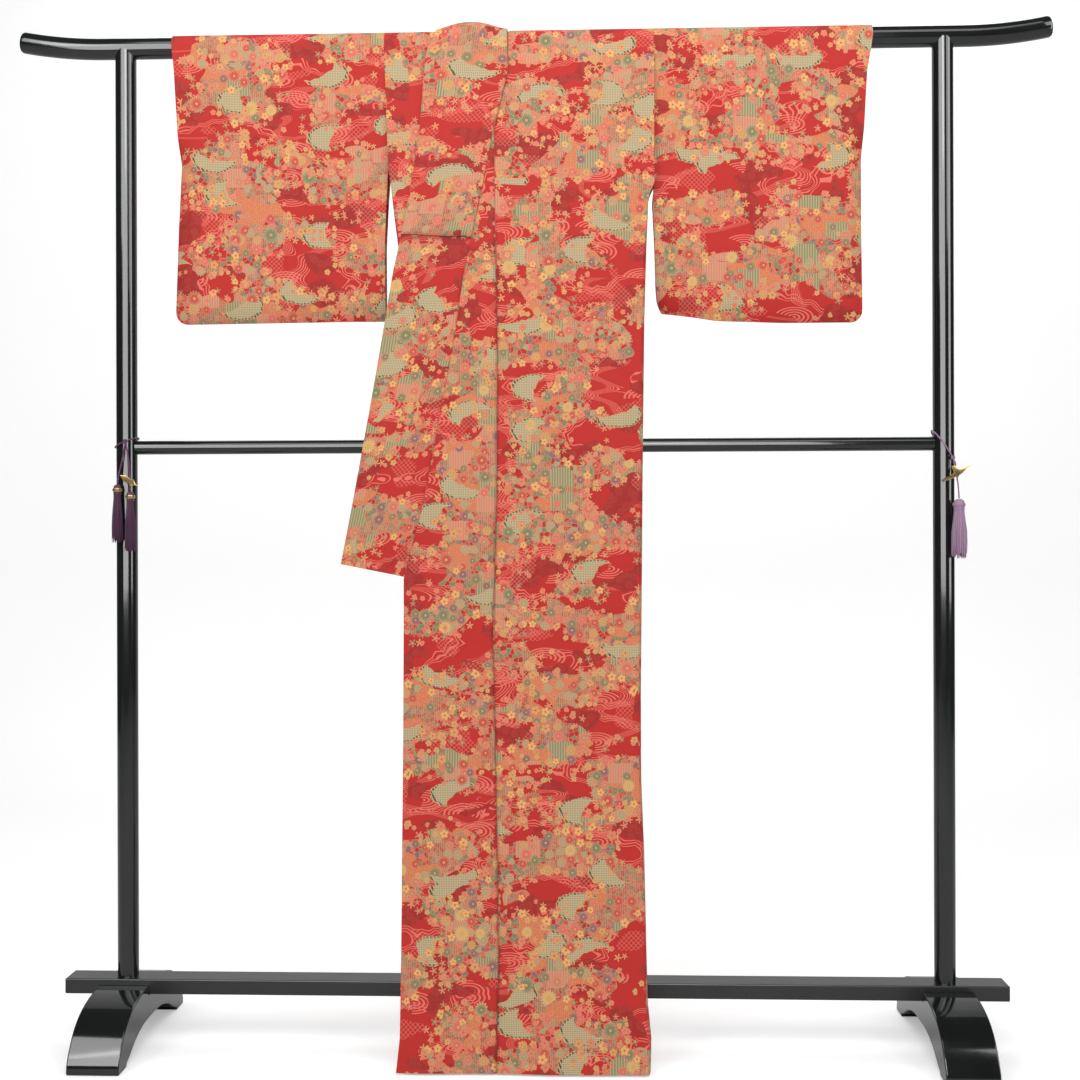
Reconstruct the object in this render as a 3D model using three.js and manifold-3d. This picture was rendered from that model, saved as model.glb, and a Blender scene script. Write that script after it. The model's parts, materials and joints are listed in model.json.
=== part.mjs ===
// Komon kimono draped over a lacquered kimono stand, front view.
// Millimetres, +Z up, origin on the floor midway between the posts, front towards -Y.
// The top rail runs through both sleeves; the body hangs in front of the lower rails, its
// left front over its right front, its wide collar opened flat, its back taken in by a pleat.

import * as THREE from 'three';
import { mergeVertices } from 'three/addons/utils/BufferGeometryUtils.js';
import Module from 'manifold-3d';

const wasm = await Module();
wasm.setup();

// ---------------------------------------------------------------- driving dimensions

const CLEARANCE = 0.3;

// stand
const RAIL_RADIUS = 16.5;
const RAIL_HEIGHT = 1588;
const RAIL_HALF_LENGTH = 817;
const RAIL_TIP_RISE = 13;
const RAIL_TIP_REACH = 135;
const POST_RADIUS = 16.5;
const POST_SPACING = 1300;
const MIDDLE_RAIL_RADIUS = 11;
const MIDDLE_RAIL_HEIGHT = 947;
const MIDDLE_RAIL_TENON = 20;
const BASE_RAIL = { length: 1490, depth: 45, height: 24, bottom: 76 };
const FOOT_WIDTH = 80;
const ROUND_SIDES = 24;
const POST_TOP = RAIL_HEIGHT - 6;
const RAIL_TIP_STATIONS = [682, 715, 745, 775, 800, 815];
const EASED_EDGE = 1.5;

// cloth
const WALL = 2;
const PITCH = WALL + CLEARANCE;
const OVERLAY_WALL = 1.2;
const HEM_HEIGHT = 3;
const SEAM_HALF_GAP = CLEARANCE / 2;
const FOLD_BULGE = 6;
const FOLD_ARM = 1.5;
const FOLD_INSET = 0.1;
const SIDE_SEAM_TOP = 1240;
const SIDE_FREE = 1329;
const NECKLINE_TOP = 1563;
const NECKLINE_BOTTOM = 1558;
const NECK_LEFT = -146;
const PLEAT = { fold: -20, seam: -132 };
const FRONT_LEAN = { even: 35, hem: 90, power: 5 };
const HUMP = { rise: 11, left: -145, right: -43, reach: 28 };
const SHOULDER_SETTLE = { front: 45, back: 24 };
const WRIST_END = 1394;
const KENSAKI = 1443;
const SLEEVE = { corner: 20, pinch: 30, closing: 40, mouthReach: 56, curlAcross: 90, curlUp: 150 };

const POST_X = POST_SPACING / 2;
const DRAPE_RADIUS = RAIL_RADIUS + CLEARANCE;
const QUARTER = (Math.PI / 2) * DRAPE_RADIUS;

// depth of the hollow between the innermost front and back cloth, from rail to hem
const HOLLOW = [
  { z: 3, depth: 46 }, { z: 110, depth: 40 }, { z: 500, depth: 20 },
  { z: 947, depth: 13 }, { z: RAIL_HEIGHT, depth: 2 * DRAPE_RADIUS },
];

// edges of the cloth seen from the front: x at height z
const OKUMI_SEAM = [
  { z: 3, x: -48 }, { z: 169, x: -47 }, { z: 306, x: -50 }, { z: 641, x: -58 },
  { z: 891, x: -52 }, { z: 1127, x: -51 }, { z: 1253, x: -54 }, { z: 1443, x: -56 },
];
const OKUMI_EDGE = [
  { z: 3, x: -198 }, { z: 49, x: -194 }, { z: 134, x: -195 }, { z: 305, x: -197 },
  { z: 740, x: -198 },
];
const COLLAR_SEAM = [
  { z: 740, x: -198 }, { z: 845, x: -170 }, { z: 970, x: -146 }, { z: 1096, x: -122 },
  { z: 1217, x: -104 }, { z: 1350, x: -75 }, { z: 1443, x: -57 }, { z: 1535, x: -34 },
  { z: RAIL_HEIGHT, x: -35 },
];
const COLLAR_EDGE = [
  { z: 740, x: -301 }, { z: 845, x: -281 }, { z: 971, x: -258 }, { z: 1097, x: -236 },
  { z: 1218, x: -216 }, { z: 1324, x: -193 }, { z: 1445, x: -174 }, { z: RAIL_HEIGHT, x: -162 },
];
const COLLAR_END = { outer: 760, inner: 740 };
const OVERLAY_END = { outer: 1280, inner: 1274 };
const RIGHT_EDGE = [
  { z: 3, x: 182 }, { z: 46, x: 184 }, { z: 98, x: 179 }, { z: 307, x: 176 }, { z: 427, x: 172 },
  { z: 549, x: 172 }, { z: 703, x: 174 }, { z: 953, x: 177 }, { z: 1141, x: 180 },
  { z: 1329, x: 186 }, { z: 1345, x: 190 }, { z: 1356, x: 195.7 }, { z: RAIL_HEIGHT, x: 195.7 },
];
const LEFT_EDGE = [
  { z: 3, x: -190 }, { z: 1120, x: -192 }, { z: 1263, x: -209 }, { z: 1330, x: -216 },
  { z: WRIST_END, x: -223.7 }, { z: RAIL_HEIGHT, x: -230.2 },
];
// the folded right front, hidden behind the left one
const HIDDEN_OKUMI_SEAM_X = -35;
const HIDDEN_COLLAR_SEAM = [
  { z: 760, x: 100 }, { z: 1400, x: -35 }, { z: 1575, x: -140 }, { z: RAIL_HEIGHT, x: -146 },
];
const HIDDEN_COLLAR = { width: 57, top: 1558, bottom: 757 };
const HIDDEN_KENSAKI = 1392;

const LEFT_SLEEVE = {
  inner: [
    { z: 1142, x: -231 }, { z: 1266, x: -231 }, { z: 1330, x: -228 }, { z: WRIST_END, x: -224 },
    { z: RAIL_HEIGHT, x: -230.5 },
  ],
  outer: [
    { z: 1142, x: -570 }, { z: 1302, x: -564 }, { z: 1399, x: -559 }, { z: 1425, x: -561 },
    { z: 1545, x: -567 }, { z: RAIL_HEIGHT, x: -571 },
  ],
  bottom: [{ u: 0, z: 1147 }, { u: 1, z: 1144 }],
  curl: 5,
};
const RIGHT_SLEEVE = {
  inner: [
    { z: 1158, x: 209 }, { z: 1166, x: 204.5 }, { z: 1178, x: 201 }, { z: 1198, x: 199.2 },
    { z: 1266, x: 197 }, { z: 1332, x: 193.6 }, { z: 1355, x: 196 }, { z: RAIL_HEIGHT, x: 196 },
  ],
  outer: [
    { z: 1139, x: 524 }, { z: 1296, x: 522 }, { z: WRIST_END, x: 522 }, { z: 1529, x: 529 },
    { z: 1565, x: 535 }, { z: RAIL_HEIGHT, x: 538 },
  ],
  bottom: [{ u: 0, z: 1158 }, { u: 0.27, z: 1143 }, { u: 0.6, z: 1139 }, { u: 1, z: 1139 }],
  curl: 20,
};
const SLEEVE_DEPTH = [
  { z: 1142, half: 8 }, { z: 1300, half: 11 }, { z: 1450, half: 14 },
  { z: RAIL_HEIGHT, half: DRAPE_RADIUS },
];

// side view of a foot, for y > 0; the front half mirrors it
const FOOT_TOP = [
  { y: 22.8, z: 90 }, { y: 60, z: 87 }, { y: 100, z: 77 }, { y: 130, z: 60 },
  { y: 150, z: 38 }, { y: 162, z: 18 }, { y: 165, z: 4 },
];
const FOOT_UNDER = [
  { y: 163, z: 0 }, { y: 128, z: 0 }, { y: 126, z: 6 }, { y: 116, z: 9 },
  { y: 85, z: 25 }, { y: 45, z: 36 },
];
const FOOT_NOTCH = BASE_RAIL.bottom - CLEARANCE;
const FOOT_CHAMFER = 2;

// tied ornaments of the posts
const CORD_RADIUS = 1.2;
const CORD_SIDES = 6;
const CORD_SLACK = 0.4;
const KNOT_RADIUS = 3.2;
const LOOP_RADIUS = POST_RADIUS + CLEARANCE + CORD_RADIUS + CORD_SLACK;
const LEFT_TIE = {
  loop: { z: 955, rise: 0.42 },
  knot: { x: -646, y: -20, z: 956.5 },
  legs: [
    [[-646, -19.9, 956], [-650, -20.9, 930], [-655, -23.4, 905], [-657, -26.5, 888]],
    [[-646, -19.9, 956], [-641, -21.4, 930], [-638, -24.4, 900], [-636, -26.5, 877]],
  ],
};
const RIGHT_TIE = {
  loop: { z: 940, rise: -1.5 },
  knot: { x: 660, y: -17.5, z: 924 },
  legs: [[[660, -18.4, 924], [664, -22.4, 900], [666, -25.4, 880], [667, -27, 860]]],
};
const TASSELS = [
  { name: 'tassel_left_outer', x: -657, y: -26.5, top: 890, end: 794, radius: 9.8, colour: 0x462440, gilt: true },
  { name: 'tassel_left_inner', x: -636, y: -26.5, top: 879, end: 780, radius: 9.8, colour: 0x462440, gilt: true },
  { name: 'tassel_right', x: 667, y: -27, top: 862, end: 766, radius: 13.5, colour: 0x92748e, gilt: false },
];
const TASSEL_HEAD = 16;
const TASSEL_NECK = 0.62;
const TASSEL_DROP = 2.7;
const BAND = { below: 9, half: 2.5, thick: 1 };
const STRAND_RINGS = [{ count: 1, reach: 0 }, { count: 7, reach: 0.45 }, { count: 15, reach: 0.88 }];

// ---------------------------------------------------------------- colours

const CLOTH = { color: 0xc83732, roughness: 0.75, metalness: 0 };
const LACQUER = { color: 0x141616, roughness: 0.12, metalness: 0 };
const GOLD = { color: 0xd9ae57, roughness: 0.3, metalness: 1 };
const CORD = { color: 0x5a3260, roughness: 0.8, metalness: 0 };

// ---------------------------------------------------------------- small helpers

const clamp = (value, low, high) => Math.min(high, Math.max(low, value));
const mix = (a, b, t) => a + (b - a) * t;
const smooth = (t) => {
  const k = clamp(t, 0, 1);
  return k * k * (3 - 2 * k);
};

// Value of one column of a table at a given value of another, straight between its rows.
function lookUp(rows, key, column, value) {
  if (value <= rows[0][key]) return rows[0][column];
  for (let k = 1; k < rows.length; k += 1) {
    if (value <= rows[k][key]) {
      const t = (value - rows[k - 1][key]) / (rows[k][key] - rows[k - 1][key]);
      return mix(rows[k - 1][column], rows[k][column], t);
    }
  }
  return rows[rows.length - 1][column];
}

const xAt = (rows, z) => lookUp(rows, 'z', 'x', z);

// Signed volume of an indexed geometry.
function signedVolume(positions, index) {
  const [a, b, c] = [new THREE.Vector3(), new THREE.Vector3(), new THREE.Vector3()];
  let sum = 0;
  for (let k = 0; k < index.length; k += 3) {
    a.fromArray(positions, 3 * index[k]);
    b.fromArray(positions, 3 * index[k + 1]);
    c.fromArray(positions, 3 * index[k + 2]);
    sum += a.dot(b.cross(c)) / 6;
  }
  return sum;
}

// Geometry from positions and triangles, with its faces turned outwards.
function outward(positions, index) {
  const turned = index.slice();
  if (signedVolume(positions, index) < 0) {
    for (let k = 0; k < turned.length; k += 3) {
      [turned[k + 1], turned[k + 2]] = [turned[k + 2], turned[k + 1]];
    }
  }
  const geometry = new THREE.BufferGeometry();
  geometry.setAttribute('position', new THREE.Float32BufferAttribute(positions, 3));
  geometry.setIndex(turned);
  return geometry;
}

// A closed wall: place(i, j, side) gives the inner (0) and outer (1) face of a grid.
function closedWall(columns, rows, place) {
  const positions = [];
  const index = [];
  const vertex = (i, j, side) => 2 * (j * (columns + 1) + i) + side;
  const quad = (a, b, c, d) => index.push(a, b, c, a, c, d);
  for (let j = 0; j <= rows; j += 1) {
    for (let i = 0; i <= columns; i += 1) {
      positions.push(...place(i, j, 0), ...place(i, j, 1));
    }
  }
  for (let j = 0; j < rows; j += 1) {
    for (let i = 0; i < columns; i += 1) {
      quad(vertex(i, j, 1), vertex(i + 1, j, 1), vertex(i + 1, j + 1, 1), vertex(i, j + 1, 1));
      quad(vertex(i, j, 0), vertex(i, j + 1, 0), vertex(i + 1, j + 1, 0), vertex(i + 1, j, 0));
    }
  }
  for (let i = 0; i < columns; i += 1) {
    quad(vertex(i, 0, 0), vertex(i + 1, 0, 0), vertex(i + 1, 0, 1), vertex(i, 0, 1));
    quad(vertex(i, rows, 1), vertex(i + 1, rows, 1), vertex(i + 1, rows, 0), vertex(i, rows, 0));
  }
  for (let j = 0; j < rows; j += 1) {
    quad(vertex(0, j, 1), vertex(0, j + 1, 1), vertex(0, j + 1, 0), vertex(0, j, 0));
    quad(
      vertex(columns, j, 0), vertex(columns, j + 1, 0),
      vertex(columns, j + 1, 1), vertex(columns, j, 1),
    );
  }
  return outward(positions, index);
}

function toManifold(geometry) {
  const bare = geometry.clone();
  bare.deleteAttribute('normal');
  bare.deleteAttribute('uv');
  const merged = mergeVertices(bare, 1e-5);
  return new wasm.Manifold(new wasm.Mesh({
    numProp: 3,
    vertProperties: Float32Array.from(merged.attributes.position.array),
    triVerts: Uint32Array.from(merged.index.array),
  }));
}

function fromManifold(solid) {
  const mesh = solid.getMesh();
  const geometry = new THREE.BufferGeometry();
  geometry.setAttribute('position', new THREE.BufferAttribute(mesh.vertProperties, 3));
  geometry.setIndex(Array.from(mesh.triVerts));
  return geometry;
}

const join = (...parts) => fromManifold(parts.map(toManifold).reduce((a, b) => a.add(b)));
const cut = (body, ...tools) => fromManifold(
  tools.map(toManifold).reduce((a, b) => a.subtract(b), toManifold(body)),
);

const model = new THREE.Group();

function addPart(name, geometry, finish) {
  geometry.deleteAttribute('uv');
  geometry.computeVertexNormals();
  const mesh = new THREE.Mesh(geometry, new THREE.MeshStandardMaterial(finish));
  mesh.name = name;
  model.add(mesh);
  return mesh;
}

// ---------------------------------------------------------------- the fall of the cloth

// y of the innermost front cloth: it leans forward below the rail, most near the hem.
function frontFace(z) {
  const fall = (RAIL_HEIGHT - z) / (RAIL_HEIGHT - HEM_HEIGHT);
  return -DRAPE_RADIUS - FRONT_LEAN.even * fall - FRONT_LEAN.hem * fall ** FRONT_LEAN.power;
}

const backFace = (z) => frontFace(z) + lookUp(HOLLOW, 'z', 'depth', z);

// Point of the drape at length v from the rail's crown (front negative), moved out by d.
function drape(v, d) {
  if (Math.abs(v) <= QUARTER) {
    const angle = v / DRAPE_RADIUS;
    return [(DRAPE_RADIUS + d) * Math.sin(angle), RAIL_HEIGHT + (DRAPE_RADIUS + d) * Math.cos(angle)];
  }
  const z = heightAt(v);
  return v < 0 ? [frontFace(z) - d, z] : [backFace(z) + d, z];
}

function heightAt(v) {
  return Math.abs(v) <= QUARTER ? RAIL_HEIGHT : RAIL_HEIGHT - (Math.abs(v) - QUARTER);
}

const frontAt = (z) => -QUARTER - (RAIL_HEIGHT - z);
const backAt = (z) => -frontAt(z);

// Heights at which every panel has a row, closer together near the hem.
const KEY_HEIGHTS = [
  HEM_HEIGHT, COLLAR_END.inner, COLLAR_END.outer, SIDE_SEAM_TOP, 1356, WRIST_END, KENSAKI, 1535,
  NECKLINE_BOTTOM, NECKLINE_TOP, RAIL_HEIGHT,
];
const levelStep = (z) => 30 + 0.09 * z;

function drapeLevels() {
  const levels = [];
  for (let k = 0; k + 1 < KEY_HEIGHTS.length; k += 1) {
    const [low, high] = [KEY_HEIGHTS[k], KEY_HEIGHTS[k + 1]];
    let z = low;
    while (z < high - 1e-6) {
      levels.push(z);
      const left = Math.max(1, Math.ceil((high - z) / levelStep(z)));
      z += Math.min(levelStep(z), (high - z) / left);
    }
  }
  return [...levels, RAIL_HEIGHT];
}

const LEVELS = drapeLevels();
const ARC_STEPS = ROUND_SIDES / 2;

const levelsWithin = (low, high) => [low, ...LEVELS.filter((z) => z > low + 1 && z < high - 1), high];
const frontRows = (low, high) => levelsWithin(low, high).map(frontAt);
const backRows = (high, low) => levelsWithin(low, high).reverse().map(backAt);

function crownRows() {
  const rows = [];
  for (let k = 1; k < ARC_STEPS; k += 1) rows.push(mix(-QUARTER, QUARTER, k / ARC_STEPS));
  return rows;
}

// A body panel's rows from the hem to the rail's crown, and from the crown down the back.
const BODY_FRONT_ROWS = [
  ...frontRows(HEM_HEIGHT, RAIL_HEIGHT), ...crownRows().filter((v) => v < -1), -SEAM_HALF_GAP,
];
const BODY_BACK_ROWS = [
  SEAM_HALF_GAP, ...crownRows().filter((v) => v > 1), ...backRows(RAIL_HEIGHT, HEM_HEIGHT),
];

// A panel between two edges: left(v), right(v) give x and offset(v, x) the distance out.
function panel({ rows, left, right, offset, wall = WALL, columns = 2, endTrim = () => 0 }) {
  return closedWall(columns, rows.length - 1, (i, j, side) => {
    const u = i / columns;
    const v = rows[j] + endTrim(j, u);
    const x = mix(left(v), right(v), u);
    const [y, z] = drape(v, offset(v, x) + side * wall);
    return [x, y, z];
  });
}

const settle = (v, amount, length) => amount * smooth((Math.abs(v) - QUARTER) / length);

// A rounded fold that joins two layers at an edge; rim(z) gives its x and the four faces' y.
function fold({ levels, sign, bulge, rim }) {
  const turns = 4;
  return closedWall(turns + 2, levels.length - 1, (i, j, side) => {
    const z = levels[j];
    const { x, near, far } = rim(z);
    const start = side === 1 ? near.outer : near.inner;
    const end = side === 1 ? far.outer : far.inner;
    if (i === 0) return [x - sign * FOLD_ARM, start, z];
    if (i === turns + 2) return [x - sign * FOLD_ARM, end, z];
    const angle = Math.PI * ((i - 1) / turns);
    const reach = side === 1 ? bulge : Math.max(bulge - WALL, SEAM_HALF_GAP);
    return [x + sign * reach * Math.sin(angle), mix(start, end, (1 - Math.cos(angle)) / 2), z];
  });
}

// ---------------------------------------------------------------- kimono body

// Where the side is sewn the fold stands out past the panel's own edge.
const belowSeam = (z, edge, sign) => (
  edge - sign * FOLD_BULGE * smooth((SIDE_FREE - z) / (SIDE_FREE - SIDE_SEAM_TOP))
);
const rightPanelEdge = (v) => belowSeam(heightAt(v), xAt(RIGHT_EDGE, heightAt(v)), 1);
const leftPanelEdge = (v) => belowSeam(heightAt(v), xAt(LEFT_EDGE, heightAt(v)), -1);

// The rounding from one face's panel (face -1 in front, 1 behind) to the side seam;
// layers gives how far out the front and back panels lie.
function sideFold(edge, sign, face, layers) {
  const levels = levelsWithin(HEM_HEIGHT, SIDE_SEAM_TOP);
  const turns = 3;
  return closedWall(turns + 1, levels.length - 1, (i, j, side) => {
    const z = levels[j];
    const x = edge(frontAt(z));
    const front = frontFace(z) - layers.front;
    const back = backFace(z) + layers.back;
    const start = (face < 0 ? front : back) + face * (side === 1 ? WALL - FOLD_INSET : FOLD_INSET);
    if (i === 0) return [x - sign * FOLD_ARM, start, z];
    const angle = (Math.PI / 2) * ((i - 1) / turns);
    const reach = side === 1 ? FOLD_BULGE : FOLD_BULGE - WALL;
    const seam = (front + back) / 2 + face * SEAM_HALF_GAP;
    return [x + sign * reach * Math.sin(angle), mix(start, seam, 1 - Math.cos(angle)), z];
  });
}

const LEFT_LAYERS = { front: PITCH, back: 2 * PITCH };
const RIGHT_LAYERS = { front: 0, back: 0 };

function bodyLeftFront() {
  const cloth = panel({
    rows: BODY_FRONT_ROWS,
    left: (v) => {
      const z = heightAt(v);
      return z <= KENSAKI ? xAt(OKUMI_SEAM, z) + SEAM_HALF_GAP : xAt(COLLAR_SEAM, z) + CLEARANCE;
    },
    right: rightPanelEdge,
    offset: (v) => settle(v, LEFT_LAYERS.front, SHOULDER_SETTLE.front),
  });
  return join(cloth, sideFold(rightPanelEdge, 1, -1, LEFT_LAYERS));
}

function bodyLeftBack() {
  const cloth = panel({
    rows: BODY_BACK_ROWS,
    left: (v) => (heightAt(v) <= NECKLINE_BOTTOM + 1
      ? PLEAT.seam
      : xAt(COLLAR_SEAM, heightAt(v)) + CLEARANCE),
    right: rightPanelEdge,
    offset: (v) => settle(v, LEFT_LAYERS.back, SHOULDER_SETTLE.back),
  });
  return join(cloth, sideFold(rightPanelEdge, 1, 1, LEFT_LAYERS));
}

function bodyRightFront() {
  const hidden = (v) => Math.min(HIDDEN_OKUMI_SEAM_X, xAt(HIDDEN_COLLAR_SEAM, heightAt(v)));
  const cloth = panel({
    rows: BODY_FRONT_ROWS,
    left: leftPanelEdge,
    right: (v) => (v > -QUARTER ? NECK_LEFT : hidden(v)) - CLEARANCE,
    offset: () => RIGHT_LAYERS.front,
  });
  return join(cloth, sideFold(leftPanelEdge, -1, -1, RIGHT_LAYERS));
}

// The back reaches a pleat, where the cloth turns and comes back a layer further out.
function bodyRightBack() {
  const cloth = panel({
    rows: BODY_BACK_ROWS,
    left: leftPanelEdge,
    right: (v) => (heightAt(v) <= NECKLINE_BOTTOM + 1 ? PLEAT.fold : NECK_LEFT - CLEARANCE),
    offset: () => RIGHT_LAYERS.back,
  });
  const returning = panel({
    rows: backRows(NECKLINE_BOTTOM, HEM_HEIGHT),
    left: () => PLEAT.seam,
    right: () => PLEAT.fold,
    offset: () => PITCH,
  });
  const pleatFold = fold({
    levels: levelsWithin(HEM_HEIGHT, NECKLINE_BOTTOM),
    sign: 1,
    bulge: PITCH,
    rim: (z) => ({
      x: PLEAT.fold,
      near: { outer: backFace(z) + FOLD_INSET, inner: backFace(z) + WALL - FOLD_INSET },
      far: { outer: backFace(z) + PITCH + WALL - FOLD_INSET, inner: backFace(z) + PITCH + FOLD_INSET },
    }),
  });
  return join(cloth, sideFold(leftPanelEdge, -1, 1, RIGHT_LAYERS), returning, pleatFold);
}

function okumiLeft() {
  return panel({
    rows: frontRows(HEM_HEIGHT, KENSAKI - 7),
    left: (v) => {
      const z = heightAt(v);
      return z <= COLLAR_END.inner ? xAt(OKUMI_EDGE, z) : xAt(COLLAR_SEAM, z) + CLEARANCE;
    },
    right: (v) => xAt(OKUMI_SEAM, heightAt(v)) - SEAM_HALF_GAP,
    offset: () => PITCH,
  });
}

function okumiRight() {
  return panel({
    rows: frontRows(HEM_HEIGHT, HIDDEN_KENSAKI),
    left: () => HIDDEN_OKUMI_SEAM_X + SEAM_HALF_GAP,
    right: (v) => xAt(HIDDEN_COLLAR_SEAM, heightAt(v)) - CLEARANCE,
    offset: () => 0,
  });
}

// ---------------------------------------------------------------- collar

// The collar stands a little off the rail behind the neck.
function hump(v, x) {
  const across = clamp((x - HUMP.left) / (HUMP.right - HUMP.left), 0, 1);
  return HUMP.rise * Math.sin(Math.PI * across) * Math.exp(-((v / HUMP.reach) ** 2));
}

const neckEdge = (v) => mix(
  xAt(COLLAR_EDGE, heightAt(v)), NECK_LEFT, smooth((v + 2 * QUARTER) / (2 * QUARTER)),
);

// A band along the left front's neck edge, from the back of the neck to a slanting end.
function collarBand({ end, offset, inset, wall }) {
  return panel({
    rows: [
      ...frontRows(end.inner, RAIL_HEIGHT), ...crownRows(), ...backRows(RAIL_HEIGHT, NECKLINE_TOP + 1),
    ],
    left: (v) => neckEdge(v) + inset,
    right: (v) => xAt(COLLAR_SEAM, heightAt(v)) - inset,
    offset: (v, x) => offset + hump(v, x),
    wall,
    columns: 6,
    endTrim: (j, u) => (j === 0 ? (end.outer - end.inner) * (1 - u) : 0),
  });
}

function collarRight() {
  return panel({
    rows: frontRows(HIDDEN_COLLAR.bottom, HIDDEN_COLLAR.top),
    left: (v) => xAt(HIDDEN_COLLAR_SEAM, heightAt(v)),
    right: (v) => xAt(HIDDEN_COLLAR_SEAM, heightAt(v)) + HIDDEN_COLLAR.width,
    offset: () => 0,
  });
}

// ---------------------------------------------------------------- sleeves

const SLEEVE_ACROSS = [0, 0.09, 0.27, 0.6, 0.88, 0.93, 0.96, 0.985, 1];
const SLEEVE_LOW_ROWS = [0, 8, 20, 40];
const SLEEVE_LEVELS = [1215, 1266, 1330, 1355, WRIST_END, 1425, 1456, 1529, 1565, RAIL_HEIGHT];

// One folded cloth: up the front, over the rail and down the back, its edges meeting at the
// bottom and below the wrist mouth with a seam's gap.
function sleeve({ inner, outer, bottom, curl }) {
  const lowest = (u, width) => {
    const fromEdge = Math.min((1 - u) * width, SLEEVE.corner);
    const rise = SLEEVE.corner - Math.sqrt(SLEEVE.corner ** 2 - (SLEEVE.corner - fromEdge) ** 2);
    return lookUp(bottom, 'u', 'z', u) + rise;
  };
  const half = [...SLEEVE_LOW_ROWS, ...SLEEVE_LEVELS];
  const rows = 2 * (half.length - 1) + ARC_STEPS;
  const station = (j) => {
    if (j < half.length) return { row: j, face: -1 };
    if (j > rows - half.length) return { row: rows - j, face: 1 };
    return { angle: mix(-Math.PI / 2, Math.PI / 2, (j - half.length + 1) / ARC_STEPS) };
  };
  return closedWall(SLEEVE_ACROSS.length - 1, rows, (i, j, side) => {
    const u = SLEEVE_ACROSS[i];
    const { row, face, angle } = station(j);
    if (angle !== undefined) {
      const r = DRAPE_RADIUS + side * WALL;
      const x = mix(xAt(inner, RAIL_HEIGHT), xAt(outer, RAIL_HEIGHT), u);
      return [x, r * Math.sin(angle), RAIL_HEIGHT + r * Math.cos(angle)];
    }
    const width = Math.abs(xAt(outer, RAIL_HEIGHT) - xAt(inner, RAIL_HEIGHT));
    const low = lowest(u, width);
    const z = row < SLEEVE_LOW_ROWS.length ? low + half[row] : half[row];
    const x = mix(xAt(inner, z), xAt(outer, z), u);
    const closing = clamp((z - low) / SLEEVE.closing, 0, 1);
    const fromEdge = clamp(((1 - u) * width) / SLEEVE.pinch, 0, 1);
    const pinched = mix(1 - (1 - fromEdge) ** 2, 1, smooth((z - WRIST_END) / SLEEVE.mouthReach));
    const open = (1 - (1 - closing) ** 2) * pinched;
    const depth = mix(SEAM_HALF_GAP, lookUp(SLEEVE_DEPTH, 'z', 'half', z), open);
    const curled = (1 - clamp((u * width) / SLEEVE.curlAcross, 0, 1))
      * (1 - clamp((z - low) / SLEEVE.curlUp, 0, 1));
    const back = curl * curled ** 2;
    return [x, face * (depth + side * WALL) + back, z];
  });
}

// ---------------------------------------------------------------- stand

const alongX = (geometry) => geometry.rotateZ(Math.PI / 2);
const upright = (geometry) => geometry.rotateX(Math.PI / 2);

function topRail() {
  const stations = [
    ...RAIL_TIP_STATIONS.map((x) => ({ x, r: RAIL_RADIUS })),
    { x: RAIL_HALF_LENGTH, r: RAIL_RADIUS - EASED_EDGE },
  ];
  const all = [...stations].reverse().map(({ x, r }) => ({ x: -x, r })).concat(stations);
  const positions = [];
  const index = [];
  all.forEach(({ x, r }) => {
    const along = clamp((Math.abs(x) - RAIL_HALF_LENGTH + RAIL_TIP_REACH) / RAIL_TIP_REACH, 0, 1);
    const z = RAIL_HEIGHT + RAIL_TIP_RISE * along * along;
    for (let k = 0; k < ROUND_SIDES; k += 1) {
      const angle = (2 * Math.PI * k) / ROUND_SIDES;
      positions.push(x, r * Math.sin(angle), z + r * Math.cos(angle));
    }
  });
  for (let s = 0; s + 1 < all.length; s += 1) {
    for (let k = 0; k < ROUND_SIDES; k += 1) {
      const next = (k + 1) % ROUND_SIDES;
      const [a, b] = [s * ROUND_SIDES + k, s * ROUND_SIDES + next];
      index.push(a, b, b + ROUND_SIDES, a, b + ROUND_SIDES, a + ROUND_SIDES);
    }
  }
  const last = (all.length - 1) * ROUND_SIDES;
  for (let k = 1; k + 1 < ROUND_SIDES; k += 1) {
    index.push(0, k + 1, k, last, last + k, last + k + 1);
  }
  return outward(positions, index);
}

function standPost(x) {
  const bottom = BASE_RAIL.bottom + BASE_RAIL.height + CLEARANCE;
  const length = POST_TOP - bottom;
  const shaft = upright(new THREE.CylinderGeometry(POST_RADIUS, POST_RADIUS, length, ROUND_SIDES));
  shaft.translate(x, 0, (POST_TOP + bottom) / 2);
  const wide = 4 * POST_RADIUS;
  const saddle = alongX(new THREE.CylinderGeometry(DRAPE_RADIUS, DRAPE_RADIUS, wide, ROUND_SIDES));
  saddle.translate(x, 0, RAIL_HEIGHT);
  return cut(shaft, saddle);
}

function middleRail() {
  const length = POST_SPACING - MIDDLE_RAIL_TENON;
  const rail = alongX(new THREE.CylinderGeometry(MIDDLE_RAIL_RADIUS, MIDDLE_RAIL_RADIUS, length, 16));
  rail.translate(0, 0, MIDDLE_RAIL_HEIGHT);
  const [cope, tall] = [POST_RADIUS + CLEARANCE, 4 * MIDDLE_RAIL_RADIUS];
  const copes = [-POST_X, POST_X].map((x) => (
    upright(new THREE.CylinderGeometry(cope, cope, tall, ROUND_SIDES)).translate(x, 0, MIDDLE_RAIL_HEIGHT)
  ));
  return cut(rail, ...copes);
}

function extrudeAcross(shape, width, chamfer) {
  const geometry = new THREE.ExtrudeGeometry(shape, {
    depth: width - 2 * chamfer, bevelEnabled: true, bevelThickness: chamfer,
    bevelSize: chamfer, bevelOffset: -chamfer, bevelSegments: 1,
  });
  geometry.translate(0, 0, chamfer - width / 2);
  // shape x becomes y, shape y becomes z, and the depth runs along x
  geometry.applyMatrix4(new THREE.Matrix4().set(0, 0, 1, 0, 1, 0, 0, 0, 0, 1, 0, 0, 0, 0, 0, 1));
  return geometry;
}

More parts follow.
